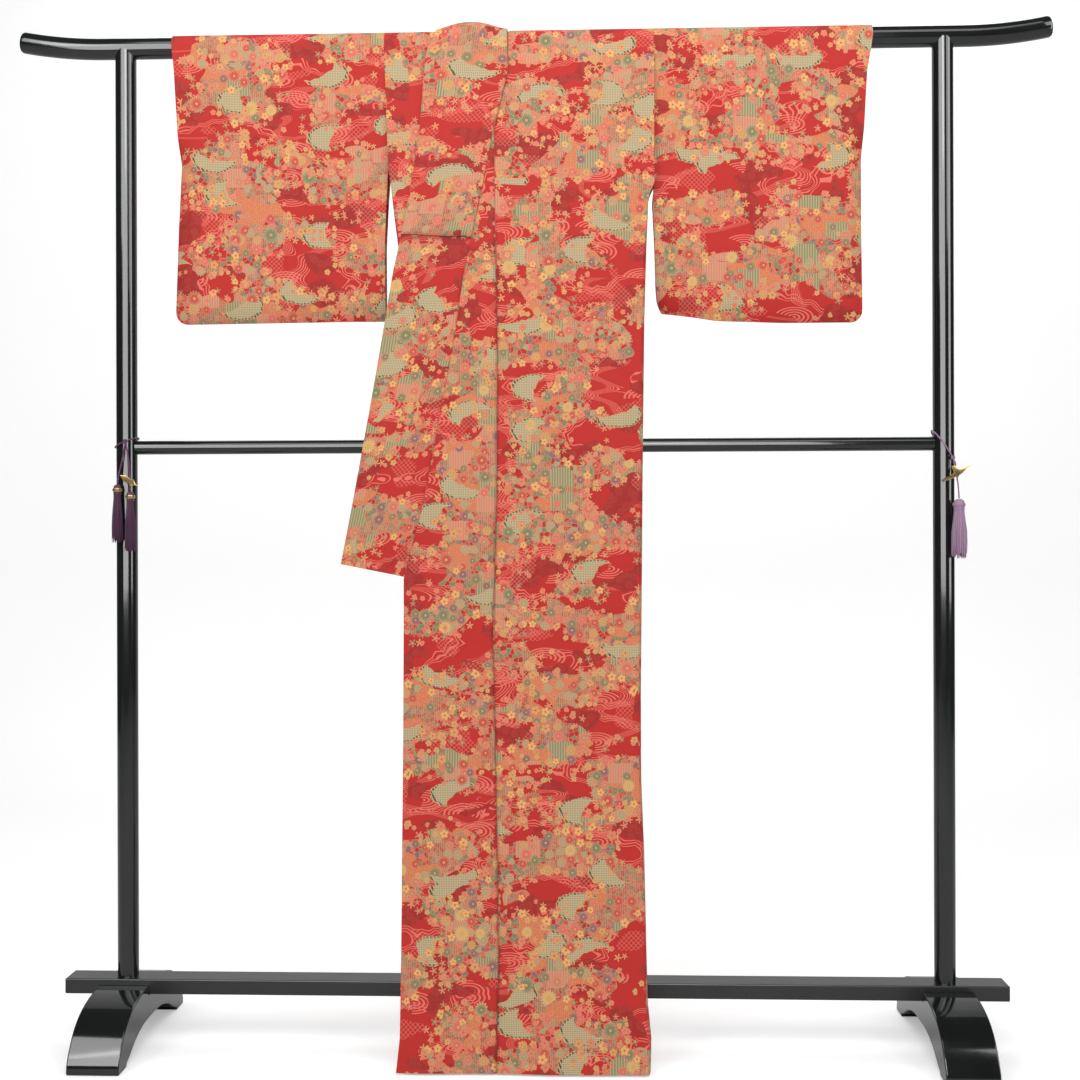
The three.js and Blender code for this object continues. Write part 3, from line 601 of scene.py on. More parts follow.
@dataclass(frozen=True)
class KomonSilk:
    """Crepe silk with a small all-over print: blossoms, cloud banks and running water on crimson."""

    dyes: Dyes = Dyes()
    roughness: float = 0.68
    crepe: float = 0.00020
    thicket_size: tuple[float, float] = (118.0, 74.0)
    thicket_edge: float = 0.50
    leaf_size: float = 7.0
    hanging_spacing: float = 48.0
    hanging_half: float = 19.0
    pool_spacing: float = 46.0
    pool_reach: float = 21.0
    bank_spacing: float = 84.0
    bank_radius: float = 23.0
    bank_thickness: float = 15.0

    def field(self, graph: Graph, across: Wire, along: Wire, wide: float, tall: float, shift: float,
              detail: float = 1.0, twist: float = 0.0) -> Wire:
        """Cloudy field over the bolt, longer across it than along it.

        Args:
            graph: the material's graph.
            across: place across the bolt, in millimetres.
            along: place along the bolt, in millimetres.
            wide: size of its clouds across.
            tall: size of its clouds along.
            shift: where in the noise it is read.
            detail: how many finer layers it has.
            twist: how much it is distorted.

        Returns:
            The field, about 0.5.
        """
        return graph.noise(graph.vector(across * (1 / wide) + shift, along * (1 / tall) - shift),
                           detail=detail, twist=twist)

    def thicket(self, graph: Graph, across: Wire, along: Wire) -> Wire:
        """The field that says where the blossoms crowd."""
        return self.field(graph, across, along, *self.thicket_size, 41.7, 2.0)

    def scatter(self, graph: Graph, across: Wire, along: Wire, under: Wire, kind: Blossom,
                low: float, high: float = 1.0) -> Wire:
        """Scatters one kind of blossom where the thicket field lies between two limits.

        Args:
            graph: the material's graph.
            across: place across the bolt.
            along: place along the bolt.
            under: the colour beneath.
            kind: the blossom.
            low: the field's lowest value at a blossom's middle.
            high: its highest value.

        Returns:
            The colour with the blossoms laid over.
        """
        cell = graph.cells(across, along, kind.spacing, 0.9, kind.shift)
        x, y, _ = graph.split(cell.centre)
        kept = graph.between(self.thicket(graph, x, y), low, high) * graph.above(cell.lot, kind.chance)
        sector = 2 * math.pi / kind.petals
        swing = (graph.calc("FRACT", cell.turn * (1 / sector) + cell.lot_two * 7.0) - 0.5) * sector
        grown = graph.calc("MULTIPLY_ADD", graph.calc("FRACT", cell.lot * 9.0), -0.40, 1.22)
        reach = cell.reach * (1 / kind.radius) * grown
        out = (reach * graph.calc("COSINE", swing) - kind.petal_start) * (1 / (1 - kind.petal_start))
        side = reach * graph.calc("SINE", swing) * (1 / kind.petal_width)
        off = graph.calc("SQRT", out * out + side * side)
        inside = graph.above(1.0 - off, 0.0, 0.08) * kept
        made = graph.lay(under, graph.palette(cell.lot_two, kind.colours), inside)
        made = graph.lay(made, kind.rim, graph.between(off, 0.74, 1.06) * kept * 0.85)
        if kind.veined:
            made = graph.lay(made, self.dyes.dark, graph.above(0.50 - reach, 0.0, 0.4) * inside * 0.16)
        heart = graph.above(0.17 - reach, 0.0, 0.08) * kept
        return graph.lay(made, kind.heart, heart)

    def ground_cloth(self, graph: Graph, across: Wire, along: Wire) -> Wire:
        """The crimson ground with running water and the outlines of clouds."""
        dyes = self.dyes
        colour = graph.lay(dyes.ground, dyes.deep, graph.noise(
            graph.vector(across * 0.02, along * 0.03), detail=3.0) * 0.30)
        water = self.field(graph, across, along, 120.0, 46.0, 3.7, 0.0, 0.35)
        ribbon = graph.between(water, 0.51, 0.61) * graph.above(
            self.field(graph, across, along, 160.0, 90.0, 11.3), 0.48)
        ripple = graph.between(graph.calc("FRACT", water * 52.0), 0.28, 0.64)
        colour = graph.lay(colour, dyes.pink, ribbon * ripple)
        pool = graph.cells(across * 0.62, along * 1.25, self.pool_spacing, 0.9, 33.0)
        ring = graph.above(graph.calc("SINE", pool.reach * 1.45), 0.25, 0.5)
        open_side = graph.above(graph.calc("SINE", pool.turn + pool.lot_two * 2.0), -0.35)
        rings = ring * graph.above(self.pool_reach - pool.reach, 0.0) * open_side
        colour = graph.lay(colour, dyes.pink, rings * graph.above(pool.lot, 0.62))
        lobe = graph.cells(across, along, 24.0, 0.6).reach * (1 / 24.0)
        rim = self.field(graph, across, along, 150.0, 58.0, 21.9, 0.0) - lobe * 0.10
        for low, high in ((0.392, 0.403), (0.430, 0.444), (0.468, 0.479)):
            colour = graph.lay(colour, dyes.pink, graph.between(rim, low, high))
        return colour

    def patches(self, graph: Graph, across: Wire, along: Wire, under: Wire) -> Wire:
        """Dark tie-dyed patches and patches of a slanting net."""
        dyes = self.dyes
        grain = graph.noise(graph.vector(across * 0.12, along * 0.2), detail=3.0)
        dyed = graph.lay(dyes.deep, dyes.rust, graph.above(grain, 0.52, 0.2) * 0.55)
        rosette = graph.cells(across, along, 15.0, 0.9)
        rays = graph.above(graph.calc("COSINE", rosette.turn * 14.0), 0.2, 0.6)
        dyed = graph.lay(dyed, dyes.coral, rays * graph.between(rosette.reach, 1.2, 6.0) * 0.3)
        colour = graph.lay(under, dyed, graph.above(
            self.field(graph, across, along, 76.0, 44.0, 31.1), 0.60))
        lines = graph.calc("MAXIMUM", *(
            graph.calc("ABSOLUTE", graph.calc("SINE", slope * 0.44))
            for slope in (across + along, across - along)))
        net = graph.above(lines, 0.955, 0.03) * graph.above(
            self.field(graph, across, along, 88.0, 58.0, 77.1), 0.63)
        return graph.lay(colour, dyes.pink, net * 0.7)

    def foliage(self, graph: Graph, across: Wire, along: Wire, under: Wire) -> Wire:
        """The thickets' ground: crowded small leaves, rippled clearings and striped hangings."""
        dyes = self.dyes
        leafy = graph.above(self.thicket(graph, across, along), self.thicket_edge)
        leaf = graph.cells(across, along, self.leaf_size, 1.0)
        tints = (dyes.sage, dyes.coral, dyes.ground, dyes.sage, dyes.salmon, dyes.coral, dyes.beige,
                 dyes.ground, dyes.plum, dyes.sage, dyes.pink, dyes.ground)
        fill = graph.palette(leaf.lot, tints)
        hatch = graph.above(graph.calc("SINE", across * 1.9), 0.1, 0.5)
        hatched = graph.above(self.field(graph, across, along, 60.0, 66.0, 9.1), 0.52)
        fill = graph.lay(fill, graph.lay(dyes.beige, dyes.coral, hatch), hatched * 0.58)
        veins = graph.above(graph.calc("SINE", leaf.reach * 3.4 + leaf.lot_two * 6.0), 0.4, 0.5)
        fill = graph.lay(fill, dyes.rust, veins * 0.36)
        fill = graph.lay(fill, dyes.beige, graph.above(
            0.45 - graph.cell_edge(across, along, self.leaf_size), 0.0, 0.3) * 0.6)
        clearing = graph.above(self.field(graph, across, along, 80.0, 52.0, 53.3), 0.61)
        ripple = graph.above(graph.calc("SINE", across * 2.2 + graph.noise(
            graph.vector(across * 0.04, along * 0.04)) * 8.0), 0.5, 0.5)
        grain = graph.above(graph.noise(graph.vector(across * 0.30, along * 0.42), detail=2.0), 0.52, 0.2)
        bare = graph.lay(dyes.salmon, dyes.gold, grain * 0.5)
        fill = graph.lay(fill, graph.lay(bare, dyes.coral, ripple * 0.5), clearing)
        hanging = graph.cells(across, along * 1.25, self.hanging_spacing, 0.6)
        hx, hy, _ = graph.split(hanging.centre)
        square = graph.calc("MAXIMUM", graph.calc("ABSOLUTE", across - hx),
                            graph.calc("ABSOLUTE", along * 1.25 - hy))
        hung = graph.above(hanging.lot, 0.70) * graph.above(self.hanging_half - square, 0.0)
        stripe = graph.above(graph.calc("SINE", across * 1.55), 0.0, 0.5)
        plain = graph.lay(dyes.sage, dyes.pink, graph.above(hanging.lot_two, 0.5))
        fill = graph.lay(fill, graph.lay(plain, dyes.beige, stripe), hung)
        return graph.lay(under, fill, leafy)

    def cloud_banks(self, graph: Graph, across: Wire, along: Wire, under: Wire) -> Wire:
        """Curling cloud banks: a gold rim, dark dashes and a fine check of tie-dyed dots."""
        dyes = self.dyes
        bank = graph.cells(across * 0.66, along * 1.15, self.bank_spacing, 0.85, 118.0)
        lobe = graph.cells(across, along, 11.0, 0.5).reach
        bow = graph.calc("COSINE", bank.turn + bank.lot_two * 4.5)
        body = bow * self.bank_thickness - graph.calc("ABSOLUTE", bank.reach - self.bank_radius) - lobe * 0.45
        body = body - graph.above(0.34, bank.lot) * 100.0
        colour = graph.lay(under, dyes.gold, graph.above(body, 0.0))
        check = graph.above(graph.calc("SINE", (across + along) * 1.2)
                            * graph.calc("SINE", (across - along) * 1.2), 0.1, 0.5)
        cloud = graph.lay(dyes.pale, dyes.dark, check * 0.52)
        dash = graph.between(body, 0.9, 3.2) * graph.above(bank.reach, self.bank_radius) * graph.above(
            graph.calc("SINE", across * 1.1 + along * 0.6), -0.2)
        cloud = graph.lay(cloud, dyes.dark, dash * 0.9)
        return graph.lay(colour, cloud, graph.above(body, 0.9))

    def blossoms(self) -> tuple[tuple[Blossom, float, float], ...]:
        """The kinds of blossom, from the undermost, with the limits of the thicket field."""
        dyes = self.dyes
        spray = Blossom(12.5, 5.6, 5, 0.55, 0.17, 5.0, 0.42, (dyes.blush, dyes.sage, dyes.gold), dyes.gold,
                        dyes.blush)
        rosette = Blossom(18.0, 8.6, 12, 0.52, 0.16, 77.0, 0.36,
                          (dyes.sage, dyes.coral, dyes.gold, dyes.blush, dyes.pink, dyes.plum, dyes.beige,
                           dyes.sage, dyes.coral, dyes.beige),
                          dyes.gold, dyes.blush, True)
        head = Blossom(31.0, 11.0, 16, 0.50, 0.12, 19.0, 0.74,
                       (dyes.coral, dyes.sage, dyes.pink, dyes.yellow), dyes.gold, dyes.beige, True)
        plum = Blossom(17.5, 6.9, 5, 0.54, 0.40, 140.0, 0.58,
                       (dyes.yellow, dyes.gold, dyes.blush, dyes.gold, dyes.yellow), dyes.coral, dyes.salmon)
        bud = Blossom(11.5, 4.2, 5, 0.54, 0.40, 61.0, 0.70, (dyes.blush, dyes.gold, dyes.pink), dyes.coral,
                      dyes.gold)
        return (
            (spray, 0.42, 0.53), (rosette, 0.50, 1.0), (head, 0.52, 1.0), (plum, 0.465, 0.60), (bud, 0.41, 0.58),
        )

    def build(self) -> bpy.types.Material:
        """Makes the printed silk."""
        graph = Graph("komon_silk")
        across, along, painted_shade = graph.cloth_place()
        colour = self.ground_cloth(graph, across, along)
        colour = self.patches(graph, across, along, colour)
        colour = self.foliage(graph, across, along, colour)
        kinds = self.blossoms()
        colour = self.scatter(graph, across, along, colour, *kinds[0])
        colour = self.scatter(graph, across, along, colour, *kinds[1])
        colour = self.cloud_banks(graph, across, along, colour)
        for kind in kinds[2:]:
            colour = self.scatter(graph, across, along, colour, *kind)
        # The crepe's height scales the colour as well as the bump, darker in its troughs and lighter on its
        # crests: painted shade and light on the crinkles.
        crepe = graph.noise(graph.vector(across * 0.9, along * 2.1), detail=3.0)
        slub = graph.noise(graph.vector(across * 0.25, along * 1.6), detail=2.0)
        # The colour is darkened by the painted shade the cloth carries: painted shadows along the seams and
        # across the overlay collar's end.
        shade = graph.tree.nodes.new("ShaderNodeVectorMath")
        shade.operation = "SCALE"
        graph.feed(shade.inputs[0], colour)
        graph.feed(shade.inputs["Scale"], graph.calc("MULTIPLY_ADD", crepe, 0.30, 0.85) * (1.0 - painted_shade))
        graph.set(Base_Color=Wire(graph, shade.outputs[0]), Roughness=self.roughness,
                  Sheen_Weight=0.06, Sheen_Roughness=0.4, Specular_IOR_Level=0.3)
        graph.raise_surface(crepe + slub * 0.5, self.crepe, 0.6)
        return graph.material


class Polish(Enum):
    """How bright a lacquered face is."""

    MIRROR = 0.10
    SATIN = 0.30


@dataclass(frozen=True)
class Lacquer:
    """Black lacquer over wood, with a faint waviness of the coat."""

    polish: Polish
    colour: Colour = (0.0050, 0.0062, 0.0058)

    def build(self) -> bpy.types.Material:
        """Makes the lacquer."""
        graph = Graph(f"lacquer_{self.polish.name.lower()}")
        place = graph.object_place()
        haze = graph.noise(place, 9.0, 3.0, flat=False)
        tint = graph.lay(self.colour, tuple(2.2 * part for part in self.colour), haze)
        graph.set(Base_Color=tint, Roughness=graph.calc("MULTIPLY_ADD", haze, 0.08, self.polish.value - 0.03),
                  Specular_IOR_Level=0.42, Coat_Weight=0.25,
                  Coat_Roughness=0.05 if self.polish is Polish.MIRROR else 0.25)
        graph.raise_surface(graph.noise(place, 60.0, 1.0, flat=False), 0.00018, 0.25)
        return graph.material


@dataclass(frozen=True)
class SilkThread:
    """Twisted silk of one colour, with its plies as fine slanting lines of bump and painted sheen, and random
    pale flecks.
    """

    name: str
    colour: Colour
    ply: float = 900.0

    def build(self) -> bpy.types.Material:
        """Makes the thread's material."""
        graph = Graph(self.name)
        x, y, z = graph.split(graph.object_place())
        twist = graph.calc("SINE", z * self.ply + (x + y) * self.ply * 0.8)
        fleck = graph.noise(graph.object_place(), 500.0, 2.0, flat=False)
        # The lighter colour is laid on along the twist and the flecks: painted sheen on the plies' crests and
        # random pale flecks in the silk.
        light = tuple(min(1.0, 1.7 * part + 0.02) for part in self.colour)
        tint = graph.lay(self.colour, light, (twist * 0.25 + fleck * 0.6).clamped())
        graph.set(Base_Color=tint, Roughness=0.5, Sheen_Weight=0.5, Sheen_Roughness=0.3)
        graph.raise_surface(twist * 0.5 + fleck, 0.0003, 0.5)
        return graph.material


@dataclass(frozen=True)
class Gilt:
    """Thin gilt metal with a lightly tarnished skin."""

    colour: Colour = (0.83, 0.58, 0.24)

    def build(self) -> bpy.types.Material:
        """Makes the gilt."""
        graph = Graph("gilt")
        tarnish = graph.noise(graph.object_place(), 220.0, 3.0, flat=False)
        tint = graph.lay(self.colour, tuple(0.45 * part for part in self.colour), tarnish * 0.5)
        graph.set(Base_Color=tint, Metallic=1.0, Roughness=graph.calc("MULTIPLY_ADD", tarnish, 0.3, 0.16))
        graph.raise_surface(tarnish, 0.0002, 0.4)
        return graph.material


@dataclass(frozen=True)
class PalePaper:
    """The studio's plain pale floor and wall, lit a little of itself where it is seen directly."""

    colour: Colour = (0.80, 0.80, 0.80)
    glow: float = 0.36

    def build(self) -> bpy.types.Material:
        """Makes the studio paper."""
        graph = Graph("studio_paper")
        grain = graph.noise(graph.object_place(), 3.0, 3.0, flat=False)
        tint = graph.lay(self.colour, tuple(0.97 * part for part in self.colour), grain)
        graph.set(Base_Color=tint, Roughness=0.85, Emission_Color=(1.0, 1.0, 1.0, 1.0),
                  Emission_Strength=graph.seen() * self.glow)
        return graph.material


def dress(piece: bpy.types.Object, material: bpy.types.Material, slot: str) -> bpy.types.Object:
    """Gives a piece its material and the body it rides on.

    Args:
        piece: the piece.
        material: its finish.
        slot: the record's slot that the finish belongs to; not used.

    Returns:
        The same piece.
    """
    piece.data.materials.clear()
    piece.data.materials.append(material)
    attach(piece, BODY)
    LOG.info("%s: %d faces", piece.name, len(piece.data.polygons))
    return piece


# ------------------------------------------------------------------ the fall of the cloth


class Crease(NamedTuple):
    """A soft ridge, or a trough if its depth is negative, at a place on the cloth."""

    x: float
    z: float
    length: float
    width: float
    depth: float
    lean: float

    def lift(self, x: float, z: float) -> float:
        """How far the crease lifts the cloth at a point."""
        off = (x - self.x - self.lean * (z - self.z)) / self.width
        along = (z - self.z) / self.length
        return self.depth * math.exp(-off * off - along * along)


@dataclass(frozen=True)
class Fall:
    """How the cloth falls from the rail: over it, down the front and down the back."""

    rail_radius: float = 16.5
    rail_height: float = 1588.0
    clearance: float = 0.3
    hem: float = 3.0
    lean_even: float = 35.0
    lean_hem: float = 90.0
    lean_power: float = 5.0
    hollow: tuple[tuple[float, float], ...] = ((3, 46), (110, 40), (500, 20), (947, 13), (1588, 33.6))
    front_creases: tuple[Crease, ...] = (
        Crease(-44, 1395, 55, 7, -1.5, 0.0), Crease(-46, 1180, 120, 8, -1.6, 0.02),
        Crease(-70, 1010, 200, 14, 1.2, -0.05), Crease(58, 930, 330, 30, 1.8, 0.03),
        Crease(128, 1215, 130, 16, -2.4, 0.16), Crease(112, 560, 300, 24, -2.0, -0.04),
        Crease(-128, 430, 260, 26, 1.9, 0.05), Crease(18, 300, 210, 32, 2.4, -0.06),
        Crease(-95, 150, 120, 22, -2.2, 0.10), Crease(130, 180, 150, 26, 2.4, 0.05),
        Crease(-250, 930, 150, 20, 1.6, -0.22), Crease(-150, 1330, 150, 14, -1.2, -0.15),
        Crease(90, 1480, 70, 26, 1.4, 0.2), Crease(150, 760, 200, 12, -1.6, 0.02),
    )
    back_creases: tuple[Crease, ...] = (
        Crease(-60, 1250, 240, 26, 1.8, 0.03), Crease(70, 1080, 300, 34, 2.2, -0.04),
        Crease(130, 820, 220, 20, -1.8, 0.05), Crease(0, 620, 260, 30, 2.0, 0.04),
        Crease(-95, 420, 240, 24, -1.9, -0.05), Crease(110, 300, 200, 30, 2.4, 0.06),
        Crease(-20, 160, 130, 26, 2.2, -0.08), Crease(-170, 900, 300, 14, 1.2, 0.0),
        Crease(60, 1450, 90, 30, 1.3, -0.2),
    )

    @property
    def radius(self) -> float:
        """Radius of the innermost cloth over the rail."""
        return self.rail_radius + self.clearance

    @property
    def quarter(self) -> float:
        """Length of cloth over a quarter of the rail."""
        return math.pi / 2 * self.radius

    def front(self, z: float) -> float:
        """y of the innermost front cloth at a height."""
        fall = (self.rail_height - z) / (self.rail_height - self.hem)
        return -self.radius - self.lean_even * fall - self.lean_hem * fall ** self.lean_power

    def back(self, z: float) -> float:
        """y of the innermost back cloth at a height."""
        return self.front(z) + read(self.hollow, z)

    def height(self, v: float) -> float:
        """Height of a point at a length v from the rail's crown."""
        return self.rail_height - max(0.0, abs(v) - self.quarter)

    def length_to(self, z: float) -> float:
        """Length of cloth from the rail's crown down to a height."""
        return self.quarter + self.rail_height - z

    def lift(self, x: float, z: float, is_front: bool) -> float:
        """How far creases lift the cloth, less towards the rail."""
        creases = self.front_creases if is_front else self.back_creases
        ease = smooth((self.rail_height - z) / 120)
        ripple = 1.6 * math.sin(x / 33 + (0 if is_front else 2)) * math.exp(-z / 90)
        return ease * (sum(crease.lift(x, z) for crease in creases) + ripple)

    def point(self, x: float, v: float, out: float) -> Point:
        """Point of the drape.

        Args:
            x: place across.
            v: length from the crown of the rail, negative in front.
            out: distance out from the innermost cloth.

        Returns:
            The point.
        """
        if abs(v) <= self.quarter:
            angle = v / self.radius
            reach = self.radius + out
            return x, reach * math.sin(angle), self.rail_height + reach * math.cos(angle)
        z = self.height(v)
        if v < 0:
            return x, self.front(z) - out - self.lift(x, z, True), z
        return x, self.back(z) + out + self.lift(x, z, False), z


class Edge(Enum):
    """How a panel's edge ends."""

    FREE = "free"
    SEAM = "seam"
    TURNED = "turned"


# ------------------------------------------------------------------ kimono


@dataclass(frozen=True)
class Bolt:
    """Where on the printed bolt a panel is cut: its shift across and along."""

    across: float
    along: float


@dataclass
class Kimono:
    """The garment: two body lengths, overlaps, collar, overlay collar and sleeves."""

    fall: Fall
    silk: bpy.types.Material
    wall: float = 2.0
    gap: float = 0.3
    overlay_wall: float = 1.2
    overlay_end: float = 1276.0
    grain: float = 7.0
    fold_bulge: float = 6.0
    side_seam_top: float = 1240.0
    side_free: float = 1329.0
    neck_left: float = -146.0
    neck_top: float = 1563.0
    neck_bottom: float = 1558.0
    pleat_fold: float = -20.0
    pleat_seam: float = -132.0
    kensaki: float = 1443.0
    hump_rise: float = 11.0
    hump_left: float = -145.0
    hump_right: float = -43.0
    hump_reach: float = 28.0
    okumi_seam: tuple[At, ...] = (
        At(3, -48), At(169, -47), At(306, -50), At(641, -58), At(891, -52), At(1127, -51),
        At(1253, -54), At(1443, -56),
    )
    okumi_edge: tuple[At, ...] = (At(3, -198), At(49, -194), At(134, -195), At(305, -197), At(740, -198))
    collar_seam: tuple[At, ...] = (
        At(740, -198), At(845, -170), At(970, -146), At(1096, -122), At(1217, -104), At(1350, -75),
        At(1443, -57), At(1535, -34), At(1588, -35),
    )
    collar_edge: tuple[At, ...] = (
        At(740, -301), At(845, -281), At(971, -258), At(1097, -236), At(1218, -216), At(1324, -193),
        At(1445, -174), At(1588, -162),
    )
    right_edge: tuple[At, ...] = (
        At(3, 182), At(46, 184), At(98, 179), At(307, 176), At(427, 172), At(549, 172), At(703, 174),
        At(953, 177), At(1141, 180), At(1329, 186), At(1345, 190), At(1356, 195.7), At(1588, 195.7),
    )
    left_edge: tuple[At, ...] = (
        At(3, -190), At(1120, -192), At(1263, -209), At(1330, -216), At(1394, -223.7), At(1588, -230.2),
    )
    hidden_seam: tuple[At, ...] = (At(760, 100), At(1400, -35), At(1575, -140), At(1588, -146))
    hidden_collar_width: float = 57.0
    turn_steps: int = 5
    rim: tuple[float, ...] = (0.0, 0.7, 1.8, 3.6, 7.0)
    seam_reach: float = 3.2
    seam_depth: float = 1.3
    seam_share: float = 0.65
    # How the painted seam shadow is eased above a starting height over a length, and the darkest painted shade
    # allowed.
    shade_eased: float = 0.3
    shade_start: float = 1210.0
    shade_length: float = 120.0
    darkest: float = 0.6

    @property
    def pitch(self) -> float:
        """Distance from one layer to the next."""
        return self.wall + self.gap

    def lengths(self, low_front: float, low_back: float | None, top: float | None = None) -> list[float]:
        """Lengths from the rail's crown at which a panel has its rows.

        Args:
            low_front: lowest height of the front.
            low_back: lowest height of the back, or None if the panel ends in front.
            top: highest height of a panel that doesn't pass over the rail.

        Returns:
            The lengths, from the front's end to the back's.
        """
        fall = self.fall
        high = fall.rail_height if top is None else top
        rows = [-fall.length_to(z) for z in steps(low_front, high, self.grain)]
        if low_back is None:
            return rows
        rows += steps(-fall.quarter, fall.quarter, 2.2)[1:-1]
        down = [fall.rail_height, self.neck_top, self.neck_bottom]
        for high_z, low_z in zip(down, down[1:] + [low_back]):
            rows += [fall.length_to(z) for z in steps(high_z, low_z, self.grain)[:-1]]
        return rows + [fall.length_to(low_back)]

    def panel(self, name: str, rows: Sequence[float], left: Callable[[float], float],
              right: Callable[[float], float], out: Callable[[float, float], float], bolt: Bolt,
              edges: tuple[Edge, Edge] = (Edge.FREE, Edge.FREE), wall: float | None = None,
              width: float = 230.0, trim: Callable[[int, float], float] | None = None,
              follow: bool = False, painted_shade: Callable[[float], float] | None = None,
              shadow: float = 0.42) -> bpy.types.Object:
        """Builds one panel of cloth between two edges.

        Args:
            name: the piece's name.
            rows: its lengths from the rail's crown.
            left: x of its left edge at a length.
            right: x of its right edge at a length.
            out: distance out from the innermost cloth at a length and an x.
            bolt: where it is cut from the printed bolt.
            edges: how its left and right edges end.
            wall: its thickness.
            width: its usual width, for the spacing of its columns.
            trim: change in length of a row at a share of the width, for a slanting end.
            follow: True if the print follows the edges and not the upright.
            painted_shade: how much painted shadow darkens a length of it, from 0 to 1.
            shadow: how dark the painted shadow along its seams is below the chest.

        Returns:
            The panel.
        """
        thick = self.wall if wall is None else wall
        inner = steps(self.rim[-1], width - self.rim[-1], self.grain * 1.3)[1:-1]
        shares = [e / width for e in [*self.rim, *inner]] + [1 - e / width for e in reversed(self.rim)]
        turned = [k for k in (0, 1) if edges[k] is Edge.TURNED]
        extra = self.turn_steps if turned else 0
        at_left = bool(turned) and turned[0] == 0
        total = len(shares) + extra

        def place(i: int, j: int, side: int) -> WallPoint:
            flat = i - extra if at_left else i
            beyond = (extra - i) if at_left else (i - len(shares) + 1)
            share = shares[int(clamp(flat, 0, len(shares) - 1))]
            v = rows[j] + (trim(j, share) if trim else 0.0)
            low, high = left(v), right(v)
            x = mix(low, high, share)
            dip = sum(
                math.exp(-((d * abs(high - low)) / self.seam_reach) ** 2)
                for d, edge in ((share, edges[0]), (1 - share, edges[1])) if edge is Edge.SEAM
            )
            reach = out(v, x) + side * (thick - min(self.seam_depth, self.seam_share * thick) * dip)
            # Painted shadow along the seams, eased above the chest, plus any painted shade given for a length;
            # the sum is capped.
            above = (self.fall.height(v) - self.shade_start) / self.shade_length
            ease = mix(1.0, self.shade_eased, smooth(above))
            dark = clamp(shadow * ease * dip ** 2 + (painted_shade(v) if painted_shade else 0.0), 0.0, self.darkest)
            u = share * width if follow else x
            place_x, y, z = self.fall.point(x, v, reach)
            if extra and beyond > 0:
                sign = -1 if at_left else 1
                turned_x, turned_y = self.turn(place_x, y, z, v, side, beyond / extra, sign)
                u += sign * (abs(turned_x - place_x) + abs(turned_y - y))
                place_x, y = turned_x, turned_y
            return WallPoint((place_x, y, z), (u + bolt.across, v + bolt.along), dark)

        return closed_wall(name, total - 1, len(rows) - 1, place)

    def turn(self, x: float, y: float, z: float, v: float, side: int, share: float,
             sign: int) -> tuple[float, float]:
        """Turns a body panel's edge round towards the side seam.

        Args:
            x: the edge's x.
            y: the face's y at the edge.
            z: the height.
            v: length from the crown, negative in front.
            side: 0 inside, 1 outside.
            share: how far round the turn, from 0 to 1.
            sign: 1 at the right edge, -1 at the left.

        Returns:
            The turned x and y.
        """
        sewn = smooth((self.side_free - z) / (self.side_free - self.side_seam_top))
        if abs(v) <= self.fall.quarter:
            return x + sign * 0.3 * share, y
        middle = (self.fall.front(z) + self.fall.back(z)) / 2 + (-self.gap if v < 0 else self.gap) / 2
        angle = math.pi / 2 * share
        bulge = self.fold_bulge - (0 if side else self.wall)
        turned_y = middle + (y - middle) * math.cos(angle)
        turned_x = x + sign * bulge * math.sin(angle)
        return mix(x + sign * 0.3 * share, turned_x, sewn), mix(y, turned_y, sewn)

    def sewn_in(self, z: float) -> float:
        """How far the side's fold takes the panel's own edge in at a height."""
        return self.fold_bulge * smooth((self.side_free - z) / (self.side_free - self.side_seam_top))

    def settle(self, v: float, amount: float, length: float) -> float:
        """Lets a layer settle from the rail out to its own distance."""
        return amount * smooth((abs(v) - self.fall.quarter) / length)

    def body_left(self) -> bpy.types.Object:
        """The wearer's left body length, outermost in front and behind."""
        fall = self.fall

        def left(v: float) -> float:
            z = fall.height(v)
            if v > fall.quarter and z <= self.neck_bottom + 1:
                return self.pleat_seam
            if v < 0 and z <= self.kensaki:
                return read(self.okumi_seam, z) + self.gap / 2
            return read(self.collar_seam, z) + self.gap

        return self.panel(
            "kimono_body_left", self.lengths(fall.hem, fall.hem), left,
            lambda v: read(self.right_edge, fall.height(v)) - self.sewn_in(fall.height(v)),
            lambda v, x: self.settle(v, self.pitch, 45) if v < 0 else self.settle(v, 2 * self.pitch, 24),
            Bolt(410.0, 0.0), (Edge.SEAM, Edge.TURNED), width=240.0)

    def body_right(self) -> bpy.types.Object:
        """The wearer's right body length, with the pleat that takes the back in."""
        fall = self.fall

        def right(v: float) -> float:
            z = fall.height(v)
            if v > fall.quarter and z <= self.neck_bottom + 1:
                return self.pleat_fold
            if v > -fall.quarter:
                return self.neck_left - self.gap
            return min(-35.0, read(self.hidden_seam, z)) - self.gap

        cloth = self.panel(
            "kimono_body_right", self.lengths(fall.hem, fall.hem),
            lambda v: read(self.left_edge, fall.height(v)) + self.sewn_in(fall.height(v)),
            right, lambda v, x: 0.0, Bolt(95.0, 210.0), (Edge.TURNED, Edge.FREE), width=150.0)
        returning = self.panel(
            "pleat_return", [fall.length_to(z) for z in steps(self.neck_bottom, fall.hem, 14.0)],
            lambda v: self.pleat_seam, lambda v: self.pleat_fold, lambda v, x: self.pitch,
            Bolt(300.0, 210.0), width=112.0)
        return join("kimono_body_right", [cloth, returning])

    def okumi_left(self) -> bpy.types.Object:
        """The overlap panel of the left front."""
        fall = self.fall

        def left(v: float) -> float:
            z = fall.height(v)
            return read(self.okumi_edge, z) if z <= 740 else read(self.collar_seam, z) + self.gap

        return self.panel(
            "kimono_okumi_left", self.lengths(fall.hem, None, self.kensaki - 7), left,
            lambda v: read(self.okumi_seam, fall.height(v)) - self.gap / 2, lambda v, x: self.pitch,
            Bolt(760.0, 128.0), (Edge.FREE, Edge.SEAM), width=146.0)

